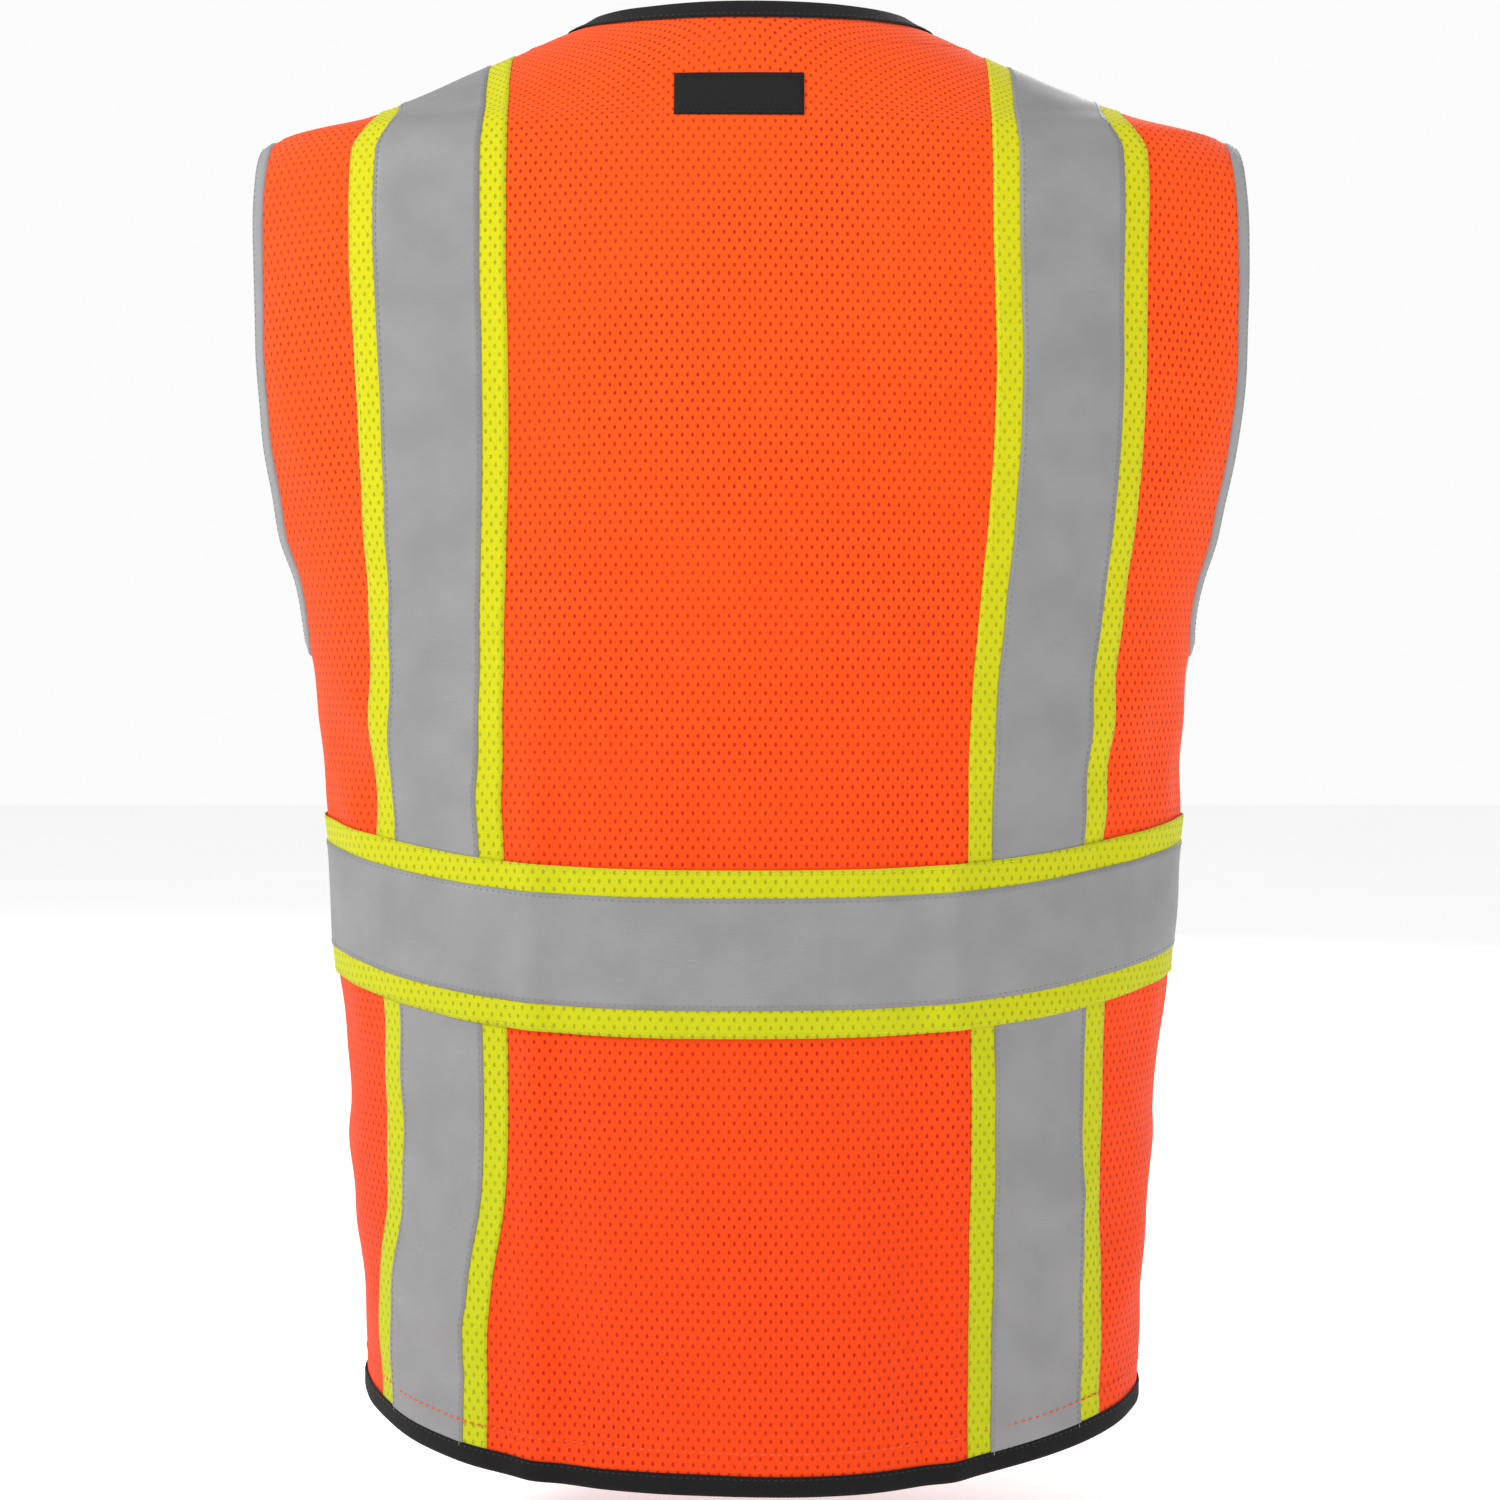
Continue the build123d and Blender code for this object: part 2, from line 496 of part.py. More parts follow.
SLIDER_TOP = ZIP_TOP - STOP_LENGTH - BODY_GAP
SLIDER_FOOT = SLIDER_TOP - SLIDER_LENGTH
PLATE_IN = TOOTH_THICKNESS / 2 + SLIDER_CLEARANCE
SLIDER_FRONT = ZIP_MIDDLE - PLATE_IN - SLIDER_PLATE
LIP_REACH = ZIP_TAPE_THICKNESS / 2 + SLIDER_CLEARANCE
with BuildPart() as slider:
    for side in (-1, 1):
        inner_y, outer_y = ZIP_MIDDLE + side * PLATE_IN, ZIP_MIDDLE + side * (PLATE_IN + SLIDER_PLATE)
        block(-SLIDER_HALF_WIDTH, SLIDER_HALF_WIDTH, inner_y, outer_y, SLIDER_FOOT, SLIDER_TOP)
    edges = slider.part.edges().filter_by(Axis.Y).group_by(Axis.Z)
    fillet(edges[0] + edges[-1], 2.4)
    for side in (-1, 1):
        for across in (-1, 1):
            x0, x1 = across * (TOOTH_OUTER_X + SLIDER_CLEARANCE), across * (SLIDER_HALF_WIDTH - 0.3)
            y0, y1 = ZIP_MIDDLE + side * LIP_REACH, ZIP_MIDDLE + side * (PLATE_IN + 0.2)
            block(x0, x1, y0, y1, SLIDER_FOOT + 2.5, SLIDER_TOP - 2.5)
    block(-0.4, 0.4, ZIP_MIDDLE - PLATE_IN - 0.2, ZIP_MIDDLE + PLATE_IN + 0.2, SLIDER_TOP - 4.5, SLIDER_TOP - 0.5)
    middle_z = (SLIDER_FOOT + SLIDER_TOP) / 2
    with Locations((0, SLIDER_FRONT - BRIDGE_HEIGHT / 2, middle_z)):
        Box(BRIDGE_WIDTH, BRIDGE_HEIGHT, BRIDGE_LENGTH)
    with Locations((0, SLIDER_FRONT - (BRIDGE_HEIGHT - 1) / 2, middle_z)):
        Box(BRIDGE_WIDTH, BRIDGE_HEIGHT - 1, BRIDGE_LENGTH - 2.4, mode=Mode.SUBTRACT)
save(slider.part, "zip_slider_body")

PULL_Y = SLIDER_FRONT - 1.1
PULL_Z = middle_z
with BuildPart() as pull:
    with BuildSketch(Plane.YZ.offset(-PULL_HALF_WIDTH)):
        with Locations((PULL_Y, PULL_Z)):
            Circle(PULL_BAR_RADIUS)
    extrude(amount=2 * PULL_HALF_WIDTH)
    for side in (-1, 1):
        x0, x1 = side * (BRIDGE_WIDTH / 2 + 0.4), side * PULL_HALF_WIDTH
        y0, y1 = PULL_Y - PULL_THICKNESS / 2, PULL_Y + PULL_THICKNESS / 2
        block(x0, x1, y0, y1, PULL_Z, PULL_Z - BRIDGE_LENGTH)
    x0, x1 = -PULL_HALF_WIDTH, PULL_HALF_WIDTH
    block(x0, x1, y0, y1, PULL_Z - BRIDGE_LENGTH + 2, PULL_Z - PULL_LENGTH)
    fillet(pull.part.edges().filter_by(Axis.Y).group_by(Axis.Z)[0], 2.4)
save(pull.part, "zip_pull_tab")

fold_y = [reach(z, -pi / 2 + t)[1] for z in np.linspace(-VEST_LENGTH, -NECK_DROP, 30)
          for t in np.linspace(0, 0.6, 60) if abs(reach(z, -pi / 2 + t)[0] - FOLD_X) < 3]
fold_axis = min(fold_y) - BAND_TAPE_TOP - FOLD_STAND_OFF
if __name__ == "__main__":
    print("fold axis y", round(float(fold_axis), 2))
    print("slider travel", round(SLIDER_FOOT - BOX_TOP - 0.5, 2), "slider", round(SLIDER_TOP, 2), round(SLIDER_FOOT, 2))
    print("pull axis", round(PULL_Y, 2), round(PULL_Z, 2))
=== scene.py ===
"""High visibility vest: cloth, tape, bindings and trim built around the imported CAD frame.

Everything is in metres in the CAD frame: +Z up, the front faces -Y, +X is the wearer's left. Cloth lies on
one dress form, and a place on it is a level z and a turn: 0 at the wearer's left, pi/2 at the back.
"""

import math

import bmesh
import bpy
import numpy as np
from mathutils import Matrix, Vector


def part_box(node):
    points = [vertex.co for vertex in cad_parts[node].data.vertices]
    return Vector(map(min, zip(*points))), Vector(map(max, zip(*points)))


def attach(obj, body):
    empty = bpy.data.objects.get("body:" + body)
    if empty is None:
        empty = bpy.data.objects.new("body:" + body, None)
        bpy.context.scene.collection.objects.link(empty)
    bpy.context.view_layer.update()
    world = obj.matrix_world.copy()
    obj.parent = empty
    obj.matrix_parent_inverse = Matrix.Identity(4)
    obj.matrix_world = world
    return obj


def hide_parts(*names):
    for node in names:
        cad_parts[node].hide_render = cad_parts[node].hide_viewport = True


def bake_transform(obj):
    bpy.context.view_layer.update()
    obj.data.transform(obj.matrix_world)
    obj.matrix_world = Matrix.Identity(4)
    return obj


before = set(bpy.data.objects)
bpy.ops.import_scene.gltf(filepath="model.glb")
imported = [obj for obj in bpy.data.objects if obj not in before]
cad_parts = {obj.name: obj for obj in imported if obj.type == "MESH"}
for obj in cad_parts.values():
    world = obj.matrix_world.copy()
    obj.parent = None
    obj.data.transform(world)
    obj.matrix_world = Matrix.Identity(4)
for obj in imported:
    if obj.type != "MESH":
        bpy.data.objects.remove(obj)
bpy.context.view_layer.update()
MM = 0.001
PI = math.pi

# ---- Driving dimensions, from the frame ----
LENGTH = -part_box("back_panel")[0].z
COLLAR_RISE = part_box("back_panel")[1].z
BAND_MIDDLE = -430 * MM
ARMHOLE_DEPTH = 303 * MM
CHEST = 211 * MM
HEM_WIDTH = 188 * MM
SHOULDER = 228 * MM
NECK = 88 * MM
SHOULDER_DROP = 49 * MM
FRONT_DEPTH = -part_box("front_edge_left")[0].y
BACK_DEPTH = 119 * MM
HEM_RISE = 22 * MM
BAND_RISE = 15 * MM
FOLD_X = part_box("front_edge_left")[1].x
EDGE_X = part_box("front_edge_left")[0].x
FLAP_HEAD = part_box("front_edge_left")[1].z
STRIP_X = 112 * MM
CONTRAST = 76.2 * MM
TAPE = 50.8 * MM
TRIM = 9 * MM
ARM_TRIM = 7 * MM
CLOTH = 0.7 * MM
LEFT_LEAN, RIGHT_LEAN = 7 * MM, -11 * MM  # how far the back strips wander
SHOULDER_TUCK = 0.13  # how much the strips are gathered where they cross the shoulder
HEM_FACING, NECK_FACING, TURNING = 27 * MM, 24 * MM, 13 * MM  # widths of what is turned in
SEAM, TOPSTITCH, YOKE_DROP = 1.6 * MM, 19 * MM, 12 * MM  # rows of stitches, from their edges
SEAM_LIFT = 1.1 * MM  # stitches on a binding, off the cloth under it
POCKET_TOP, POCKET_X0, POCKET_X1 = -215 * MM, 18 * MM, 90 * MM
POCKET_ROOM, INNER_ROOM = 7.2 * MM, 8.5 * MM
HOLE_PITCH, HOLE_ROW = 4.7 * MM, 3.9 * MM
HOLE_HALF_WIDTH, HOLE_HALF_HEIGHT = 0.68 * MM, 1.08 * MM
# Each layer's face, off the orange cloth.
LAYER = {"strip": 0.55 * MM, "tape": 1.0 * MM, "band": 1.6 * MM, "band_tape": 2.05 * MM}
LABEL_SHIFT = Vector((5 * MM, 0, -3 * MM))  # from the CAD's neck label to where the photograph has it
SIDES = (1, -1)  # the wearer's left, then right
FLOOR_GAP = 0.06
WORLD_LIGHT, SKY_LIGHT, FLOOR_GLOW = 0.97, 0.68, 0.22
CAMERA_HEIGHT, CAMERA_BACK, CAMERA_TILT, CAMERA_LENS = -0.271, 1.618, 2.53, 79.2
LIGHTS = (  # name, place, what it points at, size, power
    ("key", (2.0, 1.0, 1.3), (0, 0, -0.3), 0.8, 38),
    ("fill", (-1.2, 1.9, 0.3), (0, 0, -0.35), 1.2, 8),
    ("front", (-0.8, -2.2, 0.8), (0, 0, -0.3), 1.2, 30),
)


# ---- The dress form ----
def monotone(x, y):
    """A smooth curve through (x, y) that never overshoots, as a function."""
    h, rise = np.diff(x), np.diff(y) / np.diff(x)
    slope = np.zeros(len(x))
    for i in range(1, len(x) - 1):
        if rise[i - 1] * rise[i] > 0:
            a, b = 2 * h[i] + h[i - 1], h[i] + 2 * h[i - 1]
            slope[i] = (a + b) / (a / rise[i - 1] + b / rise[i])
    slope[0], slope[-1] = rise[0], rise[-1]

    def value(at):
        at = np.asarray(at, float)
        i = np.clip(np.searchsorted(x, at) - 1, 0, len(x) - 2)
        t = (at - x[i]) / h[i]
        low = (1 + 2 * t) * (1 - t) ** 2 * y[i] + t * (1 - t) ** 2 * h[i] * slope[i]
        return low + t * t * (3 - 2 * t) * y[i + 1] + t * t * (t - 1) * h[i] * slope[i + 1]

    return value


BELOW_ARM = LENGTH - ARMHOLE_DEPTH
# Level, half width, back and front depth less those at the chest, and squareness.
SECTIONS = [
    (-LENGTH - 0.025, HEM_WIDTH - 0.001, 0.019, 0, 2.1),
    (-ARMHOLE_DEPTH - 0.68 * BELOW_ARM, HEM_WIDTH + 0.006, 0.015, 0, 2.1),
    (-ARMHOLE_DEPTH - 0.34 * BELOW_ARM, CHEST - 0.008, 0.006, 0, 2.1),
    (-ARMHOLE_DEPTH, CHEST, 0, 0, 2.1),
    (-0.78 * ARMHOLE_DEPTH, CHEST + 0.019, 0, 0, 2.1),
    (-0.6 * ARMHOLE_DEPTH, SHOULDER + 0.020, -0.003, 0, 2.1),
    (-SHOULDER_DROP - 0.061, SHOULDER + 0.029, -0.013, -0.017, 2.1),
    (-SHOULDER_DROP - 0.021, SHOULDER + 0.022, -0.022, -0.038, 2.1),
    (-SHOULDER_DROP, SHOULDER, -0.028, -0.052, 2.05),
    (-0.8 * SHOULDER_DROP, SHOULDER - 0.040, -0.032, -0.060, 2.05),
    (-0.29 * SHOULDER_DROP, NECK + 0.036, -0.039, -0.068, 2.05),
    (-0.002, NECK + 0.010, -0.044, -0.074, 2.0),
    (COLLAR_RISE, NECK - 0.012, -0.051, -0.079, 2.0),
    (COLLAR_RISE + 0.008, NECK - 0.017, -0.054, -0.082, 2.0),
]
SECTIONS = np.array(SECTIONS) + (0, 0, BACK_DEPTH, FRONT_DEPTH, 0)
FORM = [monotone(SECTIONS[:, 0], SECTIONS[:, i]) for i in range(1, 5)]


def reach(z, turn):
    """The x and y of places on the form."""
    width, back, front, square = (f(z) for f in FORM)
    scale = (np.abs(np.cos(turn)) ** square + np.abs(np.sin(turn)) ** square) ** (-1 / square)
    return width * scale * np.cos(turn), (back - front) / 2 + (back + front) / 2 * scale * np.sin(turn)


LEVELS = np.linspace(-LENGTH - 0.02, COLLAR_RISE + 0.007, 900)
TURNS = np.linspace(-PI / 2, 1.5 * PI, 721)
GRID_X, GRID_Y = reach(LEVELS[:, None], TURNS[None, :])
STEP_AROUND = np.hypot(np.diff(GRID_X, axis=1), np.diff(GRID_Y, axis=1))
AROUND = np.c_[np.zeros(len(LEVELS)), np.cumsum(STEP_AROUND, axis=1)]
AROUND = AROUND - AROUND[:, [360]]
STEP_UP = np.sqrt(np.diff(GRID_X, axis=0) ** 2 + np.diff(GRID_Y, axis=0) ** 2 + np.diff(LEVELS)[:, None] ** 2)
UP = np.r_[np.zeros((1, len(TURNS))), np.cumsum(STEP_UP, axis=0)]


def read(table, z, turn):
    """Value of a table over the form, at levels and turns."""
    row = np.clip((z - LEVELS[0]) / (LEVELS[1] - LEVELS[0]), 0, len(LEVELS) - 1.001)
    col = np.clip((turn - TURNS[0]) / (TURNS[1] - TURNS[0]), 0, len(TURNS) - 1.001)
    i, j = row.astype(int), col.astype(int)
    a, b = row - i, col - j
    low = table[i, j] * (1 - b) + table[i, j + 1] * b
    return low * (1 - a) + (table[i + 1, j] * (1 - b) + table[i + 1, j + 1] * b) * a


def turn_at(z, x, back):
    """The turn where the form's ring at level z reaches x, on its back or its front."""
    z, x = np.broadcast_arrays(np.asarray(z, float), np.asarray(x, float))
    width, square = FORM[0](z), FORM[3](z)
    share = np.clip(np.abs(x) / width, 0, 1)
    rest = (1 - share**square) ** (1 / square)
    turn = np.arctan2(rest, share)
    turn = np.where(x < 0, PI - turn, turn)
    return turn if back else -turn


def level_run(z, start, width):
    """Where a strip laid level on the form from x = start ends."""
    z = np.minimum(z, -SHOULDER_DROP - 0.025)
    turns = turn_at(z, start, True)
    target = read(AROUND, z, turns) - width
    out = np.zeros(len(z))
    for i, level in enumerate(z):
        row = AROUND[np.clip(np.searchsorted(LEVELS, level), 0, len(LEVELS) - 1)]
        out[i] = reach(level, np.interp(target[i], row, TURNS))[0]
    return out


# ---- How the cloth hangs: gentle folds over the form ----
def smooth(a, b, x):
    t = np.clip((x - a) / (b - a), 0, 1)
    return t * t * (3 - 2 * t)


def ridge(x, centre, width):
    return np.exp(-(((x - centre) / width) ** 2))


rng = np.random.default_rng(7)
SWELLS = [(rng.uniform(2, 9), rng.uniform(-4, 4), rng.uniform(0, 2 * PI)) for _ in range(9)]
RIPPLES = [(rng.uniform(-16, 16), rng.uniform(9, 26), rng.uniform(0, 2 * PI)) for _ in range(9)]
PUCKERS = [(rng.uniform(14, 34), rng.uniform(0, 2 * PI)) for _ in range(7)]

# Soft folds: from (across, level) to (across, level), width, and height in millimetres.
BACK_FOLDS = [
    (0.205, -0.295, 0.095, -0.365, 0.013, 2.6), (0.200, -0.315, 0.140, -0.395, 0.010, -2.0),
    (-0.205, -0.290, -0.100, -0.350, 0.013, 2.4), (-0.198, -0.320, -0.150, -0.400, 0.010, -2.2),
    (0.182, -0.335, 0.178, -0.400, 0.008, 1.8), (-0.180, -0.330, -0.176, -0.400, 0.008, 1.8),
    (0.178, -0.480, 0.170, -0.630, 0.009, 2.4), (0.150, -0.490, 0.158, -0.600, 0.008, -1.6),
    (-0.176, -0.485, -0.168, -0.620, 0.009, 2.2), (-0.148, -0.500, -0.160, -0.600, 0.009, -1.8),
    (0.095, -0.090, 0.030, -0.235, 0.026, 2.2), (-0.095, -0.085, -0.040, -0.220, 0.028, 2.4),
    (0.020, -0.210, 0.035, -0.370, 0.022, -2.0), (-0.060, -0.240, -0.050, -0.380, 0.020, 1.8),
    (0.075, -0.260, 0.085, -0.380, 0.016, 1.8), (-0.015, -0.490, -0.045, -0.640, 0.024, 2.2),
    (0.060, -0.480, 0.050, -0.620, 0.020, 2.0), (0.165, -0.590, 0.118, -0.604, 0.007, 1.8),
    (0.160, -0.618, 0.120, -0.626, 0.006, -1.4), (-0.165, -0.540, -0.125, -0.552, 0.007, 1.4),
    (0.222, -0.120, 0.188, -0.230, 0.011, 2.2), (-0.222, -0.110, -0.190, -0.235, 0.011, 2.2),
    (0.175, -0.062, 0.150, -0.120, 0.012, 1.8), (-0.178, -0.060, -0.148, -0.125, 0.012, 1.8),
]
FRONT_FOLDS = [
    (s * a, b, s * c, d, w, h) for s in SIDES for a, b, c, d, w, h in BACK_FOLDS[::2] if abs(a) > 0.14
]


def crease_depth(x, z, folds):
    """Height of rounded folds that fade out at both ends."""
    total = 0 * x
    for x0, z0, x1, z1, width, height in folds:
        length = math.hypot(x1 - x0, z1 - z0)
        along = ((x - x0) * (x1 - x0) + (z - z0) * (z1 - z0)) / length
        aside = ((x - x0) * (z1 - z0) - (z - z0) * (x1 - x0)) / length
        aside = aside + 0.12 * length * np.sin(PI * along / length) * math.copysign(1, x0)
        share = smooth(-0.15, 0.35, along / length) * smooth(1.2, 0.6, along / length)
        total = total + height * MM * share * ridge(aside, 0, width)
    return total


def waves(table, u, v):
    return sum(np.sin(2 * PI * (a * u + b * v) + c) for a, b, c in table)


def fold_depth(z, turn):
    """How far the cloth stands off the form."""
    u, v, across = read(AROUND, z, turn), read(UP, z, turn), reach(z, turn)[0]
    behind = np.sin(turn) > 0
    depth = waves(SWELLS, u, v) * 0.75 * MM
    depth = depth + waves(RIPPLES, u, v) * 0.16 * MM * (0.5 + 0.5 * smooth(-0.15, -0.3, z))
    pucker = sum(np.sin(2 * PI * a * u + c) for a, c in PUCKERS) * 0.2 * MM
    band = band_level(across)
    near = ridge(z, band + 0.052, 0.022) + ridge(z, band - 0.052, 0.022)
    depth = depth + pucker * (near + 0.5 * ridge(z, -LENGTH + 0.03, 0.03))
    low = smooth(-0.30, -0.40, z) * behind
    depth = depth + low * 2.6 * MM * (ridge(across, 0.099, 0.008) + ridge(across, -0.093, 0.008))
    depth = depth - low * 1.5 * MM * (ridge(across, 0.085, 0.014) + ridge(across, -0.079, 0.014))
    creases = (crease_depth(across, z, folds) for folds in (BACK_FOLDS, FRONT_FOLDS))
    depth = depth + np.where(behind, *creases)
    depth = depth + smooth(-0.5, -LENGTH, z) * 1.6 * MM * np.sin(2 * PI * u / 0.175 + 0.6)
    still = smooth(0.012, 0.05, np.hypot(across, z - COLLAR_RISE)) * (0.25 + 0.75 * smooth(-0.02, -0.12, z))
    calm = 0.4 * smooth(0.004, 0.06, np.abs(across))
    calm = calm + 0.6 * smooth(FOLD_X - 0.03, FOLD_X + 0.05, np.abs(across))
    return depth * still * np.where(np.sin(turn) < 0, calm + (1 - calm) * smooth(-0.35, 0, np.sin(turn)), 1)


def place(z, turn, off):
    """Points on the cloth, off metres outside its face."""
    z, turn, off = np.broadcast_arrays(*(np.asarray(a, float) for a in (z, turn, off)))
    step = 2e-4

    def base(level, at):
        x, y = reach(level, at)
        return np.stack([x, y, np.broadcast_to(level, x.shape)], -1)

    around = base(z, turn + step) - base(z, turn - step)
    normal = np.cross(around, base(z + step, turn) - base(z - step, turn))
    normal /= np.linalg.norm(normal, axis=-1, keepdims=True)
    return base(z, turn) + (off + fold_depth(z, turn))[..., None] * normal


def hem_level(x):
    return -LENGTH + HEM_RISE * (np.abs(x) / HEM_WIDTH) ** 3


def band_level(x):
    return BAND_MIDDLE + BAND_RISE * (np.abs(x) / HEM_WIDTH) ** 3


# ---- Meshes ----
GAP = 3.6 * MM


def put(name, data):
    """A new object in the scene."""
    obj = bpy.data.objects.new(name, data)
    bpy.context.scene.collection.objects.link(obj)
    return obj


def new_object(name, verts, faces, cloth):
    """A mesh object that knows where each point lies on its cloth, in metres."""
    mesh = bpy.data.meshes.new(name)
    mesh.from_pydata(np.asarray(verts, float).tolist(), [], [tuple(f) for f in faces])
    layer = mesh.attributes.new("cloth", "FLOAT_VECTOR", "POINT")
    flat = np.asarray(cloth, np.float32)
    layer.data.foreach_set("vector", np.c_[flat, np.zeros(len(flat), np.float32)].ravel())
    bm = bmesh.new()
    bm.from_mesh(mesh)
    bmesh.ops.remove_doubles(bm, verts=bm.verts, dist=2e-6)
    bmesh.ops.recalc_face_normals(bm, faces=bm.faces)
    bm.to_mesh(mesh)
    bm.free()
    mesh.polygons.foreach_set("use_smooth", [True] * len(mesh.polygons))
    return put(name, mesh)


def grid_faces(rows, cols, start=0, flip=False):
    at = start + np.arange(rows * cols).reshape(rows, cols)
    quads = np.stack([at[:-1, :-1], at[:-1, 1:], at[1:, 1:], at[1:, :-1]], -1).reshape(-1, 4)
    return quads[:, ::-1] if flip else quads


def tube_faces(rows, cols, closed=False):
    """Faces of a ring of cols points carried along rows, with its ends filled unless they meet."""
    at = np.arange(rows * cols).reshape(rows, cols)
    around = np.roll(at, -1, 1)
    faces = np.stack([at[:-1], around[:-1], around[1:], at[1:]], -1).reshape(-1, 4).tolist()
    return faces if closed else faces + [at[0].tolist(), at[-1].tolist()]


def on_cloth(z, turn):
    """Where places lie on the flat cloth, in metres."""
    return np.stack([read(AROUND, z, turn), read(UP, z, turn)], -1).reshape(-1, 2)


def travel(steps):
    """Distance at each point of a line, from the lengths between them."""
    return np.r_[0, np.cumsum(steps)]


def sheet_mesh(name, z, turn, off, thick):
    """A thin closed sheet over a grid of levels and turns."""
    rows, cols = z.shape
    n = rows * cols
    verts = [place(z, turn, off - side * thick).reshape(-1, 3) for side in (0, 1)]
    cloth = on_cloth(z, turn)
    rim = [(0, j) for j in range(cols)] + [(i, cols - 1) for i in range(1, rows)]
    rim += [(rows - 1, j) for j in range(cols - 2, -1, -1)] + [(i, 0) for i in range(rows - 2, -1, -1)]
    rim = np.array([i * cols + j for i, j in rim])
    wall = np.stack([rim[:-1], rim[:-1] + n, rim[1:] + n, rim[1:]], -1)
    faces = np.r_[grid_faces(rows, cols), grid_faces(rows, cols, n, True), wall]
    return new_object(name, np.concatenate(verts), faces, np.r_[cloth, cloth])


def flat_area(z, turn):
    """Area, width and length of a grid laid on the form, in square metres and metres."""
    x, y = reach(z, turn)
    p = np.stack([x, y, z], -1)
    one = np.cross(p[1:, :-1] - p[:-1, :-1], p[:-1, 1:] - p[:-1, :-1])
    two = np.cross(p[1:, :-1] - p[1:, 1:], p[:-1, 1:] - p[1:, 1:])
    area = (np.linalg.norm(one, axis=-1).sum() + np.linalg.norm(two, axis=-1).sum()) / 2
    width = np.linalg.norm(np.diff(p, axis=1), axis=-1).sum(1).max()
    length = np.linalg.norm(np.diff(p, axis=0), axis=-1).sum(0).max()
    return float(area), float(width), float(length)


# ---- Cloth panels ----
def armhole_edge():
    """The armhole as (across, level), from the shoulder to its foot."""
    depth = ARMHOLE_DEPTH
    points = np.array(
        [
            (SHOULDER, 0.03),
            (SHOULDER, -0.12 * depth),
            (SHOULDER + 0.003, -0.33 * depth),
            (SHOULDER + 0.0015, -0.56 * depth),
            (CHEST + 0.010, -0.776 * depth),
            (CHEST + 0.0035, -0.86 * depth),
            (CHEST - 0.0005, -0.947 * depth),
            (CHEST + 0.003, -0.99 * depth),
            (CHEST + 0.014, -depth),
        ]
    )
    along = travel(np.hypot(*np.diff(points, axis=0).T))
    at = np.linspace(0, along[-1], 400)
    return np.stack([monotone(along, points[:, i])(at) for i in (0, 1)], -1)


ARM = armhole_edge()


def arm_turn(z):
    """Half the turn that the armhole takes up at a level, 0 where there is none."""
    edge_x = np.interp(-z, -ARM[:, 1], ARM[:, 0])
    inside = (z < -SHOULDER_DROP * 0.99) & (z > -ARMHOLE_DEPTH) & (edge_x < FORM[0](z))
    return np.where(inside, turn_at(z, np.minimum(edge_x, FORM[0](z)), True), 0)


V_SHARE = [(-1.06, -0.05), (-1, 0), (-0.8, 0.2), (-0.42, 0.575), (-0.15, 0.86), (0.05, 1), (0.22, 1.03)]
V_SHARE = np.array(V_SHARE)
V_EDGE = monotone(V_SHARE[:, 0] * -FLAP_HEAD, EDGE_X + V_SHARE[:, 1] * (NECK - 0.013 - EDGE_X))


def neck_x(z):
    """The V neck's edge at a level, and the front edge below it."""
    return np.where(z < FLAP_HEAD, EDGE_X, np.minimum(V_EDGE(np.maximum(z, FLAP_HEAD)), FORM[0](z)))


def row_levels(low, high):
    """Levels spaced evenly along the form's side."""
    z = np.linspace(low, high, 3000)
    along = travel(np.hypot(np.diff(z), np.diff(FORM[0](z))))
    return np.interp(np.linspace(0, along[-1], int(along[-1] / GAP) + 2), along, z)


def hemmed(levels, x):
    """Levels of a grid's rows at x, with the lowest row on the hem."""
    rise = hem_level(x) - levels[0]
    return levels[:, None] + rise * (1 - smooth(levels[0], levels[0] + 0.12, levels[:, None]))


def panel_grid(inner, outer, cols):
    """A grid from the hem to the neck, between two turns at each level."""
    levels = row_levels(-LENGTH, COLLAR_RISE - 0.0005)
    share = np.linspace(0, 1, cols)[None, :]
    turn = inner(levels)[:, None] * (1 - share) + outer(levels)[:, None] * share
    x = reach(levels[0], turn[0])[0]
    return hemmed(levels, x[None, :]), turn


def on_side(turn, side):
    """A turn on the wearer's left, or its mirror image."""
    return turn if side > 0 else PI - turn


def name_of(side):
    return "left" if side > 0 else "right"


def lay(name, grid, off, finish, slot, thick=0.5 * MM):
    """A layer of cloth over a grid, with its face off metres outside the orange cloth's."""
    z, turn = grid
    return finish_piece(sheet_mesh(name, z, turn, off + 0 * z, thick), finish)


def front_grid(side):
    z, turn = panel_grid(lambda z: turn_at(z, neck_x(z), False), lambda z: -arm_turn(z), int(0.27 / GAP))
    return z, on_side(turn, side)


def back_grid():
    return panel_grid(arm_turn, lambda z: PI - arm_turn(z), int(0.56 / GAP))


# ---- Strips over the shoulders ----
def lean(z, side):
    """How far a back strip wanders from the straight."""
    sway = 1.5 * MM * np.sin((z + 0.1) * 2 * PI / 0.31) * smooth(-0.10, -0.16, z)
    if side > 0:
        return LEFT_LEAN * smooth(-0.53, -0.60, z) + sway
    return RIGHT_LEAN * smooth(-0.16, -0.38, z) - 0.5 * sway


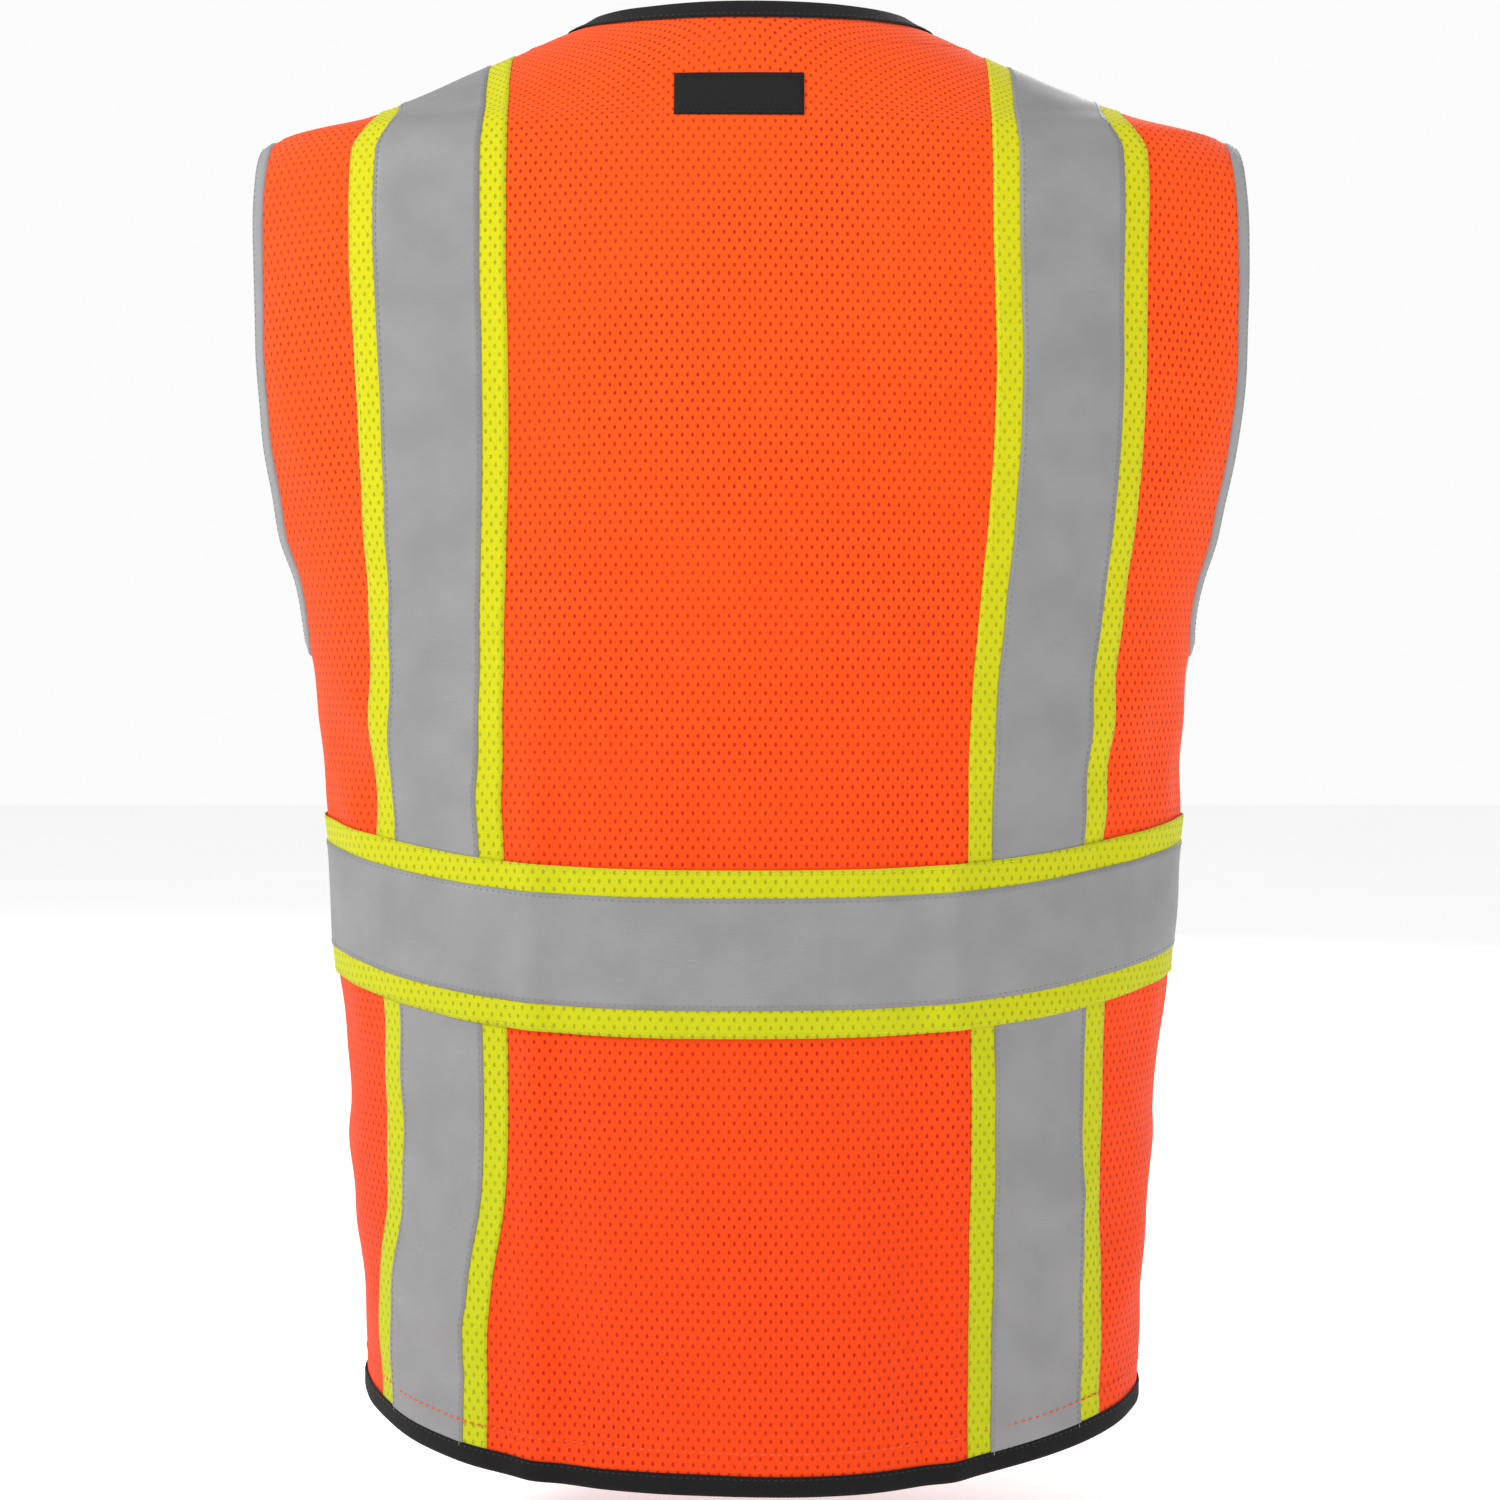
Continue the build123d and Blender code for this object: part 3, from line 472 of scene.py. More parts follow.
def strip_grid(side, back, inset, width, cols):
    """A strip from the hem to the shoulder's ridge, as columns side by side."""
    fine = np.linspace(-LENGTH, -0.001, 1500)
    base = STRIP_X + (lean(fine, side) if back else 0)
    narrowing = 1 - SHOULDER_TUCK * smooth(-0.060, -0.040, fine)
    inner, outer = (base + (level_run(fine, base, w) - base) * narrowing for w in (inset, inset + width))
    columns = []
    for share in np.linspace(0, 1, cols):
        x = inner * (1 - share) + outer * share
        keep = (FORM[0](fine) > x) | (fine < -0.3)
        last = len(fine) if keep.all() else np.argmin(keep)
        low = hem_level(x[0]) + TRIM - 2 * MM
        on = (np.arange(len(fine)) < last) & (fine > low)
        z = fine[on]
        turn = turn_at(z, x[on], back)
        z, turn = np.r_[low, z, z[-1]], np.r_[turn[0], turn, 0.0]
        px, py = reach(z, turn)
        along = travel(np.sqrt(np.diff(px) ** 2 + np.diff(py) ** 2 + np.diff(z) ** 2))
        at = np.linspace(0, along[-1], int(0.70 / GAP))
        columns.append((np.interp(at, along, z), np.interp(at, along, turn)))
    z, turn = (np.stack([c[i] for c in columns], 1) for i in (0, 1))
    return z, on_side(turn, side)


# ---- Bands round the waist ----
def band_grid(start, end, low, high, rows):
    turns = np.linspace(start, end, int(abs(end - start) * 0.20 / GAP))
    middle = band_level(reach(np.full(len(turns), BAND_MIDDLE), turns)[0])
    z = middle[None, :] + np.linspace(low, high, rows)[:, None]
    return z, np.broadcast_to(turns, z.shape)


# ---- Bindings and facings: folded tape along an edge ----
# A folded tape's outline: share of its width into the cloth, and millimetres off it.
LIP = [(1, 0.75), (0.97, 1.0), (0.75, 1.12), (0.45, 1.2), (0.15, 1.15), (0.0, 0.9), (-0.08, 0.3)]
LIP += [(-0.1, -0.4), (-0.06, -1.0), (0.05, -1.45), (0.4, -1.6), (0.75, -1.5), (0.97, -1.35), (1, -1.1)]
LIP += [(0.75, -1.0), (0.3, -0.95), (0.05, -0.7), (0.03, -0.1), (0.1, 0.2), (0.5, 0.3), (0.9, 0.35)]


def resample(z, turn, gap):
    p = place(z, turn, 0)
    along = travel(np.linalg.norm(np.diff(p, axis=0), axis=1))
    at = np.linspace(0, along[-1], int(along[-1] / gap) + 2)
    return np.interp(at, along, z), np.interp(at, along, turn), at


def into_cloth(z, turn, inward, closed):
    """The change in level and turn for a metre into the cloth from an edge."""
    p = place(z, turn, 0)
    step = 1e-4
    up = (place(z + step, turn, 0) - place(z - step, turn, 0)) / (2 * step)
    round_ = (place(z, turn + step, 0) - place(z, turn - step, 0)) / (2 * step)
    normal = np.cross(round_, up)
    if closed:
        ring = np.r_[p[-2:-1], p, p[1:2]]
        ahead = ring[2:] - ring[:-2]
    else:
        ahead = np.gradient(p, axis=0)
    into = inward * np.cross(normal, ahead)
    into /= np.linalg.norm(into, axis=1, keepdims=True)
    a, b, c = (round_ * round_).sum(1), (round_ * up).sum(1), (up * up).sum(1)
    d, e = (round_ * into).sum(1), (up * into).sum(1)
    det = a * c - b * b
    return (a * e - b * d) / det, (c * d - b * e) / det


def sweep(name, z, turn, inward, profile, closed=False, gap=2.6 * MM):
    """A tape of the given profile, (metres into the cloth, metres off it), along an edge."""
    z, turn, along = resample(z, turn, gap)
    dz, dturn = into_cloth(z, turn, inward, closed)
    a, b = np.array(profile).T
    ripple = 1 + 0.03 * np.sin(along / 0.021) * np.sin(along / 0.057 + 1)
    into = a[None, :] * ripple[:, None]
    verts = place(z[:, None] + into * dz[:, None], turn[:, None] + into * dturn[:, None], b + 0 * into)
    cloth = np.stack([along[:, None] + 0 * into, into + b], -1).reshape(-1, 2)
    return new_object(name, verts.reshape(-1, 3), tube_faces(len(z), len(profile), closed), cloth)


def make_binding(name, path, inward, width, finish, closed=False):
    profile = [(a * width, b * MM) for a, b in LIP]
    return finish_piece(sweep(name, *path, inward, profile, closed), finish)


def make_facing(name, path, inward, width):
    """A flat tape on the inside, along an edge."""
    profile = [(2 * MM, -0.8 * MM), (width / 2, -0.8 * MM), (width, -0.8 * MM)]
    profile += [(width, -1.3 * MM), (width / 2, -1.3 * MM), (2 * MM, -1.3 * MM)]
    return finish_piece(sweep(name, *path, inward, profile), BLACK_CLOTH)


def hem_path(start, end):
    turns = np.linspace(start, end, 500)
    x = reach(np.full(500, -LENGTH + 0.01), turns)[0]
    return hem_level(x), turns


def front_hem_path(side):
    inner = float(turn_at(-LENGTH + 0.003, EDGE_X, False))
    return hem_path(*(on_side(t, side) for t in (0.0, inner)))


def arm_path(side):
    x, z = ARM[:, 0], ARM[:, 1]
    on = (x < FORM[0](np.clip(z, -LENGTH, COLLAR_RISE))) & (z < -0.02)
    z, x = z[on], x[on]
    back = turn_at(z, x, True)
    z = np.r_[z[0], z, z[-1], z[::-1], z[0]]
    return z, on_side(np.r_[0.0, back, 0.0, -back[::-1], 0.0], side)


def neck_front_path(side):
    z = np.linspace(FLAP_HEAD, COLLAR_RISE, 260)
    return z, on_side(turn_at(z, neck_x(z), False), side)


def neck_back_path():
    start = float(turn_at(COLLAR_RISE, neck_x(COLLAR_RISE), False))
    turns = np.linspace(start, PI - start, 300)
    return np.full(300, COLLAR_RISE), turns


# ---- Stitching ----
def stitches(name, paths, off, finish, pitch=3.1 * MM, width=0.32 * MM):
    """Rows of stitches as short raised threads along paths on the cloth."""
    verts, faces, cloth = [], [], []
    for path in paths:
        z, turn, along = resample(*path, pitch / 2)
        lift = off(z, turn) if callable(off) else off
        p = place(z, turn, lift)
        a, b = p[0:-1:2], p[1::2]
        n = min(len(a), len(b))
        a, b = a[:n], b[:n]
        out = (place(z, turn, lift + 1 * MM) - p)[0 : 2 * n : 2][:n]
        out /= np.linalg.norm(out, axis=1, keepdims=True)
        ahead = b - a
        across = np.cross(out, ahead)
        across /= np.linalg.norm(across, axis=1, keepdims=True)
        a, b = a - 0.12 * ahead, b + 0.12 * ahead
        ring = [(1, -0.6), (0.55, 0.7), (-0.55, 0.7), (-1, -0.6)]
        parts = [a - out * width * 0.6]
        for share in (0.18, 0.82):
            middle = a + share * (b - a)
            parts += [middle + across * width * s + out * width * t for s, t in ring]
        parts.append(b - out * width * 0.6)
        block = np.stack(parts, 1).reshape(-1, 3)
        start = sum(len(v) for v in verts) + 10 * np.arange(n)[:, None]
        for i in range(4):
            j = (i + 1) % 4
            faces += (start + [[1 + i, 1 + j, 5 + j, 5 + i]]).tolist()
            faces += (start + [[0, 1 + j, 1 + i]]).tolist()
            faces += (start + [[9, 5 + i, 5 + j]]).tolist()
        verts.append(block)
        cloth.append(np.repeat(np.stack([along[0 : 2 * n : 2][:n], 0 * a[:, 0]], -1), 10, 0))
    return finish_piece(new_object(name, np.concatenate(verts), faces, np.concatenate(cloth)), finish)


def edges_of(grid):
    """A strip's two long edges, a seam's depth inside it."""
    z, turn = grid
    middle = len(z) // 2
    share = SEAM / flat_area(z[middle : middle + 2], turn[middle : middle + 2])[1]
    return [tuple(a[:, i] * (1 - share) + a[:, j] * share for a in (z, turn)) for i, j in ((0, -1), (-1, 0))]


# ---- Pockets and labels ----
def patch_grid(side, x0, x1, low, high, back=False):
    cols, rows = (max(int(abs(n) / (GAP * 0.7)), 6) for n in (x1 - x0, high - low))
    x = np.linspace(x0, x1, cols)[None, :] + np.zeros((rows, 1))
    z = np.linspace(low, high, rows)[:, None] + 0 * x
    turn = turn_at(z, x, back)
    return z, (turn if back else on_side(turn, side))


def thicken(obj, thick):
    """Gives a one-layer cloth its thickness."""
    modifier = obj.modifiers.new("thickness", "SOLIDIFY")
    modifier.thickness = thick
    modifier.offset = -1
    modifier.use_even_offset = True
    shape = bpy.data.meshes.new_from_object(obj.evaluated_get(bpy.context.evaluated_depsgraph_get()))
    obj.modifiers.clear()
    obj.data = shape
    return obj


def swell(u, v, sharp=3.2):
    """How full a pocket is: none at its sides and foot, all at its mouth."""
    side = np.maximum(1 - np.abs(2 * u - 1) ** sharp, 0) ** (1 / sharp)
    return side * np.maximum(1 - (1 - v) ** sharp, 0) ** (1 / sharp)


def pouch(name, side, x0, x1, low, high, room, under, finish, slot, pleats=0):
    """A patch pocket sewn down at its sides and foot, open at its mouth."""
    z, turn = patch_grid(side, x0, x1, low, high)
    rows, cols = z.shape
    ease = 0.5 - 0.5 * np.cos(np.linspace(0, 1, cols) * PI)
    x = x0 + (x1 - x0) * ease[None, :] + 0 * z
    turn = on_side(turn_at(z, x, False), side)
    u, v = ease[None, :] + 0 * z, np.linspace(0, 1, rows)[:, None] + 0 * z
    sign = 1 if under >= 0 else -1
    off = under + sign * room * swell(u, v) * (0.86 + 0.14 * np.sin(5 * u + 3 * v))
    if pleats:
        fullness = np.abs(np.sin(PI * pleats * u)) ** 0.5 * np.maximum(1 - (1 - v) ** 4, 0) ** 0.25
        off = off + room * 0.85 * fullness
    verts = place(z, turn, off).reshape(-1, 3)
    obj = new_object(name, verts, grid_faces(rows, cols), on_cloth(z, turn))
    return finish_piece(thicken(obj, 0.6 * MM * sign), finish)


# ---- Materials ----
def linear(*rgb):
    """A colour seen as 0 to 255, as light."""
    shares = [c / 255 for c in rgb]
    return tuple(c / 12.92 if c < 0.0405 else ((c + 0.055) / 1.055) ** 2.4 for c in shares) + (1,)


class Paint:
    """A material's nodes, added one call at a time."""

    def __init__(self, name, roughness, sheen=0.0, metallic=0.0):
        self.material = bpy.data.materials.new(name)
        self.material.use_nodes = True
        self.tree = self.material.node_tree
        self.shader = self.tree.nodes["Principled BSDF"]
        settings = {"Roughness": roughness, "Sheen Weight": sheen, "Sheen Roughness": 0.5}
        settings |= {"Metallic": metallic, "Specular IOR Level": 0.25}
        for key, value in settings.items():
            self.shader.inputs[key].default_value = value

    def glow(self, colour, strength):
        self.shader.inputs["Emission Color"].default_value = colour
        self.shader.inputs["Emission Strength"].default_value = strength

    def node(self, kind, inputs=(), output=0, **settings):
        node = self.tree.nodes.new("ShaderNode" + kind)
        for key, value in settings.items():
            setattr(node, key, value)
        for i, value in enumerate(inputs):
            if isinstance(value, bpy.types.NodeSocket):
                self.tree.links.new(value, node.inputs[i])
            elif value is not None:
                node.inputs[i].default_value = value
        return node.outputs[output]

    def math(self, operation, *inputs):
        return self.node("Math", inputs, operation=operation)

    def times(self, a, b):
        return self.math("MULTIPLY", a, b)

    def plus(self, a, b):
        return self.math("ADD", a, b)

    def wave(self, along, pitch):
        return self.math("SINE", self.times(along, 2 * PI / pitch))

    def cloth(self):
        """Where a point lies on its cloth: across and up, in metres."""
        where = self.node("Attribute", output="Vector", attribute_name="cloth")
        split = self.tree.nodes.new("ShaderNodeSeparateXYZ")
        self.tree.links.new(where, split.inputs[0])
        return where, split.outputs["X"], split.outputs["Y"]

    def where(self):
        return self.node("TexCoord", output="Object")

    def noise(self, vector, scale, detail=3.0):
        return self.node("TexNoise", (vector, None, scale, detail), "Fac")

    def between(self, value, low, high, a=0.0, b=1.0):
        return self.node("MapRange", (value, low, high, a, b), interpolation_type="SMOOTHSTEP")

    def mix(self, factor, a, b):
        return self.node("Mix", (factor, *[None] * 5, a, b), 2, data_type="RGBA")

    def finish(self, colour, height, distance, roughness=None):
        bump = self.tree.nodes.new("ShaderNodeBump")
        bump.inputs["Distance"].default_value = distance
        bump.inputs["Strength"].default_value = 0.7
        self.tree.links.new(height, bump.inputs["Height"])
        self.tree.links.new(bump.outputs[0], self.shader.inputs["Normal"])
        self.tree.links.new(colour, self.shader.inputs["Base Color"])
        if roughness is not None:
            self.tree.links.new(roughness, self.shader.inputs["Roughness"])
        return self.material


def mesh_cloth(name, top, low, hole_shade_colour, glow, depth):
    """Knitted mesh: rows of small upright holes, each row half a step from the next. The holes are filled
    with painted shade, the dark inside seen through them, and the cloth is painted darker towards the hem as
    shade.
    """
    paint = Paint(name, 0.85, sheen=0.06)
    where, across, up = paint.cloth()
    row = paint.math("FLOOR", paint.math("DIVIDE", up, HOLE_ROW))
    shift = paint.times(paint.math("MODULO", paint.plus(row, 1000.0), 2.0), 0.5)
    u = paint.plus(paint.math("DIVIDE", across, HOLE_PITCH), shift)
    du = paint.math("SUBTRACT", paint.math("FRACT", paint.plus(u, 1000.0)), 0.5)
    dv = paint.math("SUBTRACT", paint.math("FRACT", paint.math("DIVIDE", up, HOLE_ROW)), 0.5)
    du, dv = paint.times(du, HOLE_PITCH / HOLE_HALF_WIDTH), paint.times(dv, HOLE_ROW / HOLE_HALF_HEIGHT)
    hole = paint.between(paint.math("SQRT", paint.plus(paint.times(du, du), paint.times(dv, dv))), 1.25, 0.65)
    knit = paint.times(paint.wave(across, 0.78 * MM), paint.wave(up, 0.65 * MM))
    patchy = paint.noise(where, 22.0)
    fine = paint.noise(where, 1400.0)
    height = paint.node("SeparateXYZ", (paint.where(),), output=2)
    # Painted shade: the cloth goes from its top colour near the neck to the darker low colour at the hem.
    cloth = paint.mix(paint.between(height, -LENGTH, -0.05), linear(*low), linear(*top))
    cloth = paint.mix(paint.between(patchy, 0.35, 0.7, 0, 0.14), cloth, linear(*low))
    cloth = paint.mix(paint.between(fine, 0.35, 0.75, 0, 0.16), cloth, linear(*hole_shade_colour))
    # Painted shade in the holes: the dark inside seen through them, its strength (depth) varying in soft
    # patches.
    hole_shade_share = paint.between(paint.noise(where, 13.0), 0.3, 0.7, 0.72 * depth, depth)
    cloth = paint.mix(paint.times(hole, hole_shade_share), cloth, linear(*hole_shade_colour))
    relief = paint.math("SUBTRACT", paint.times(knit, 0.12), hole)
    paint.glow(linear(*top), glow)
    return paint.finish(cloth, relief, 0.45 * MM)


def woven(name, colour, dark, pitch=0.5 * MM, roughness=0.85, sheen=0.2, depth=0.12 * MM):
    """Close-woven cloth or tape."""
    paint = Paint(name, roughness, sheen)
    where, across, up = paint.cloth()
    weave = paint.times(paint.wave(across, pitch), paint.wave(up, pitch))
    worn = paint.noise(where, 60.0)
    fine = paint.noise(where, 1800.0)
    tone = paint.mix(paint.between(weave, -1.0, 1.0, 0.0, 0.5), linear(*colour), linear(*dark))
    tone = paint.mix(paint.between(worn, 0.3, 0.75, 0, 0.18), tone, linear(*dark))
    tone = paint.mix(paint.between(fine, 0.4, 0.8, 0, 0.3), tone, linear(*dark))
    return paint.finish(tone, paint.plus(weave, paint.times(fine, 1.4)), depth)


def silver_tape(name, colour, dark):
    """Tape coated with glass beads: matte, faintly mottled, with a fine cross weave under the coat."""
    paint = Paint(name, 0.55, metallic=0.1)
    where, _, up = paint.cloth()
    weft = paint.wave(up, 0.9 * MM)
    beads = paint.noise(where, 2600.0, 2.0)
    cloudy = paint.noise(where, 34.0)
    tone = paint.mix(paint.between(cloudy, 0.3, 0.72), linear(*colour), linear(*dark))
    tone = paint.mix(paint.between(beads, 0.35, 0.8, 0, 0.22), tone, linear(*dark))
    rough = paint.between(cloudy, 0.3, 0.75, 0.52, 0.6)
    return paint.finish(tone, paint.plus(paint.times(weft, 0.15), beads), 0.10 * MM, rough)


def moulded(name, colour, dark, roughness, metallic=0.0):
    """Moulded plastic or painted metal, a little rubbed."""
    paint = Paint(name, roughness, metallic=metallic)
    fine = paint.noise(paint.where(), 900.0)
    rub = paint.noise(paint.where(), 90.0)
    tone = paint.mix(paint.between(rub, 0.35, 0.75, 0, 0.5), linear(*colour), linear(*dark))
    rough = paint.between(rub, 0.3, 0.7, roughness - 0.06, roughness + 0.12)
    return paint.finish(tone, fine, 0.03 * MM, rough)


# Each mesh: its colour near the neck, a darker colour painted towards the hem as shade, the painted shade
# seen through its holes, then glow and how dark the holes are painted.
ORANGE_MESH = mesh_cloth("orange_mesh", (250, 82, 3), (234, 64, 1), (168, 12, 0), 0.04, 0.95)
LIME_MESH = mesh_cloth("lime_mesh", (208, 204, 6), (186, 192, 8), (112, 128, 4), 0.02, 0.62)
ORANGE_CLOTH = woven("orange_cloth", (246, 84, 10), (214, 58, 4), sheen=0.04)
SILVER = silver_tape("silver_tape", (141, 141, 142), (134, 134, 135))
GREY_BINDING = woven("grey_binding", (160, 160, 161), (128, 128, 130), 0.7 * MM, 0.62, 0.1)
BLACK_BINDING = woven("black_binding", (17, 17, 18), (7, 7, 8), 0.8 * MM, 0.85, 0.03, 0.2 * MM)
BLACK_CLOTH = woven("black_cloth", (18, 18, 19), (8, 8, 9), 0.6 * MM, 0.85, 0.03)
BLACK_LABEL = woven("black_label", (12, 12, 13), (6, 6, 7), 0.35 * MM, 0.6, 0.02, 0.06 * MM)
WHITE_LABEL = woven("white_label", (232, 232, 228), (205, 205, 200), 0.35 * MM, 0.5, 0.1, 0.05 * MM)
ZIP_TAPE = woven("zip_tape", (238, 84, 24), (196, 52, 12), 0.9 * MM, 0.8, 0.15)
ORANGE_THREAD = woven("orange_thread", (245, 92, 28), (200, 54, 10), 0.4 * MM, 0.7, 0.2)
LIME_THREAD = woven("lime_thread", (214, 220, 50), (160, 175, 26), 0.4 * MM, 0.7, 0.2)
GREY_THREAD = woven("grey_thread", (140, 140, 142), (104, 104, 106), 0.4 * MM, 0.6, 0.2)
BLACK_THREAD = woven("black_thread", (34, 34, 36), (12, 12, 13), 0.4 * MM, 0.7, 0.2)
HOOKS = woven("hook_and_loop", (214, 70, 20), (150, 40, 8), 1.1 * MM, 0.9, 0.5, 0.5 * MM)
ZIP_PLASTIC = moulded("zip_plastic", (232, 78, 22), (198, 54, 12), 0.42)
ZIP_METAL = moulded("zip_metal", (224, 74, 22), (170, 46, 12), 0.34, metallic=0.1)

# The two cloths of every strip and band: their word in the CAD's names, width, finish, slot and thread.
LIME = ("contrast", CONTRAST, LIME_MESH, "lime_cloth", LIME_THREAD)
SHINE = ("reflective", TAPE, SILVER, "reflective_tape", GREY_THREAD)


def finish_piece(obj, material):
    obj.data.materials.clear()
    obj.data.materials.append(material)
    return obj


def swing(obj):
    """Bakes a front piece's placement into its mesh."""
    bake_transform(obj)
    points = np.zeros(len(obj.data.vertices) * 3)
    obj.data.vertices.foreach_get("co", points)
    return obj


def ride(objs, body):
    for obj in objs:
        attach(obj, body)
    return objs


# ---- The vest ----
def make_shell():
    """The orange mesh panels, each a sheet of cloth that hangs from the shoulders."""
    made = {}
    grids = [("back_cloth", back_grid())] + [("front_cloth_" + name_of(s), front_grid(s)) for s in SIDES]
    for name, grid in grids:
        made[name] = (lay(name, grid, 0, ORANGE_MESH, "orange_mesh", CLOTH), *flat_area(*grid))
    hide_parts("back_panel")
    for side in SIDES:
        n = name_of(side)
        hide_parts("front_panel_" + n, "front_edge_" + n)
    return made


def make_strips():
    """Lime strips over the shoulders, with silver tape on them."""
    fixed = []
    for side, back in ((side, back) for side in SIDES for back in (True, False)):
        where, n = "back" if back else "front", name_of(side)
        for kind, (word, width, finish, slot, thread) in (("strip", LIME), ("tape", SHINE)):
            inset = (CONTRAST - width) / 2
            grid = strip_grid(side, back, inset, width, int(width / GAP) + 2)
            piece = lay(f"{where}_{kind}_{n}", grid, LAYER[kind], finish, slot)
            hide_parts(f"{where}_{word}_{kind}_{n}")
            sewn = edges_of(strip_grid(side, back, inset, width, 4))
            fixed += [piece, stitches(f"{where}_{kind}_stitches_{n}", sewn, LAYER[kind], thread)]
    return fixed


def make_bands():
    """The waist band: one length round the back, and one on each front."""
    back, fronts = [], {1: [], -1: []}
    front_turn = float(turn_at(BAND_MIDDLE, EDGE_X, False))
    runs = [("back", 0.0, PI, 0)]
    runs += [("front_" + name_of(s), on_side(0.0, s), on_side(front_turn, s), s) for s in SIDES]
    for where, start, end, side in runs:
        for kind, (word, width, finish, slot, thread) in (("band", LIME), ("band_tape", SHINE)):
            z, turn = band_grid(start, end, -width / 2, width / 2, int(width / GAP) + 2)
            piece = lay(f"waist_{kind}_{where}", (z, turn), LAYER[kind], finish, slot)
            rows = [(z[0] + SEAM, turn[0]), (z[-1] - SEAM, turn[0])]
            seams = stitches(f"waist_{kind}_stitches_{where}", rows, LAYER[kind], thread)
            (fronts[side] if side else back).extend([piece, seams])
            part = "edge_" + name_of(side) if side else "body"
            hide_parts(f"waist_{word}_band_{part}")
    return back, fronts


def along_edge(path, inward, depth, closed=False):
    """A line that follows an edge, depth metres into the cloth."""
    z, turn, _ = resample(*path, 4 * MM)
    dz, dturn = into_cloth(z, turn, inward, closed)
    return z + depth * dz, turn + depth * dturn


def over_strips(z, turn):
    """How far the outermost layer stands off the cloth beside or over a strip, near the hem."""
    x = np.abs(reach(z, turn)[0])
    on_strip = smooth(STRIP_X - 5 * MM, STRIP_X, x) * smooth(STRIP_X + 66 * MM, STRIP_X + 60 * MM, x)
    on_tape = smooth(STRIP_X + 7 * MM, STRIP_X + 12 * MM, x) * smooth(STRIP_X + 54 * MM, STRIP_X + 50 * MM, x)
    return 0.15 * MM + LAYER["strip"] * on_strip + (LAYER["tape"] - LAYER["strip"]) * on_tape


def trim(where, neck, hem, neck_inward, hem_inward):
    """Bindings, facings and stitching along a neck edge and a hem."""
    tapes = []
    edges = (("neck", neck, neck_inward, NECK_FACING), ("hem", hem, hem_inward, HEM_FACING))
    for name, path, inward, facing in edges:
        tapes.append(make_binding(f"{name}_tape_{where}", path, inward, TRIM, BLACK_BINDING))
        tapes.append(make_facing(f"{name}_lining_{where}", path, inward, facing))
    rows = [along_edge(path, inward, TRIM - SEAM) for _, path, inward, _ in edges]
    seams = stitches("trim_stitches_" + where, rows, SEAM_LIFT, BLACK_THREAD)
    top, name = [along_edge(hem, hem_inward, TOPSTITCH)], "hem_topstitch_" + where
    return tapes + [seams, stitches(name, top, over_strips, ORANGE_THREAD, 4 * MM, 0.4 * MM)]


def make_bindings():
    """What finishes the edges of the body, and of each front."""
    back, fronts = [], {}
    for side in SIDES:
        n, arm = name_of(side), arm_path(side)
        tape = make_binding("armhole_tape_" + n, arm, -side, ARM_TRIM, GREY_BINDING, closed=True)
        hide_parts("armhole_binding_" + n)
        row = along_edge(arm, -side, ARM_TRIM - 1.4 * MM, True)
        back += [tape, stitches("armhole_stitches_" + n, [row], SEAM_LIFT, GREY_THREAD)]
        fronts[side] = trim("front_" + n, neck_front_path(side), front_hem_path(side), -side, -side)
        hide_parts("hem_binding_edge_" + n)
        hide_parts("hem_facing_edge_" + n)
    pieces = trim("back", neck_back_path(), hem_path(0.0, PI), -1, 1)
    for piece, node in zip(pieces, ("neck_binding", "neck_facing", "hem_binding_body", "hem_facing_body")):
        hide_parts(node)
    row = along_edge(neck_back_path(), -1, TRIM + YOKE_DROP)
    yoke = stitches("neck_yoke_stitches", [row], 0.2 * MM, ORANGE_THREAD)
    return back + pieces + [yoke], fronts


def foot_row(side, x0, x1, low, high):
    """A row of stitches down a pocket's side, along its foot and up its other side."""
    count = 40
    z = np.r_[np.linspace(high, low, count), np.full(count, low), np.linspace(low, high, count)]
    x = np.r_[np.full(count, x0), np.linspace(x0, x1, count), np.full(count, x1)]
    return z, on_side(turn_at(z, x, False), side)


def make_flap(x0, x1):
    """The radio pocket's flap, with its stitching, and the two closing patches."""
    hooks = (HOOKS, "hook_and_loop")
    grid = patch_grid(-1, x0 + 16 * MM, x1 - 16 * MM, POCKET_TOP - 28 * MM, POCKET_TOP - 12 * MM)
    loop = lay("radio_loop_patch", grid, 9.0 * MM, *hooks)
    hook = lay("radio_hook_patch", grid, 10.1 * MM, *hooks)
    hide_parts("radio_pocket_loop_patch")
    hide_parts("radio_flap_hook_patch")
    low, high = (corner.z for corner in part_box("radio_pocket_flap"))
    grid = patch_grid(-1, x0 - 1 * MM, x1 + 1 * MM, low, high)
    rise = np.sqrt(np.clip(1 - np.linspace(0, 1, len(grid[0])) ** 3, 0, 1))[:, None]
    cover = lay("radio_flap_cloth", grid, 1.4 * MM + 9.8 * MM * rise, ORANGE_CLOTH, "orange_cloth", 0.9 * MM)
    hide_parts("radio_pocket_flap")
    turn = PI - turn_at(np.full(60, low), np.linspace(x0 + 2 * MM, x1 - 2 * MM, 60), False)
    row = [(np.full(60, low + 3 * MM), turn)]
    rows = stitches("radio_flap_stitches", row, 11.2 * MM, ORANGE_THREAD)
    return loop, [cover, hook, rows]


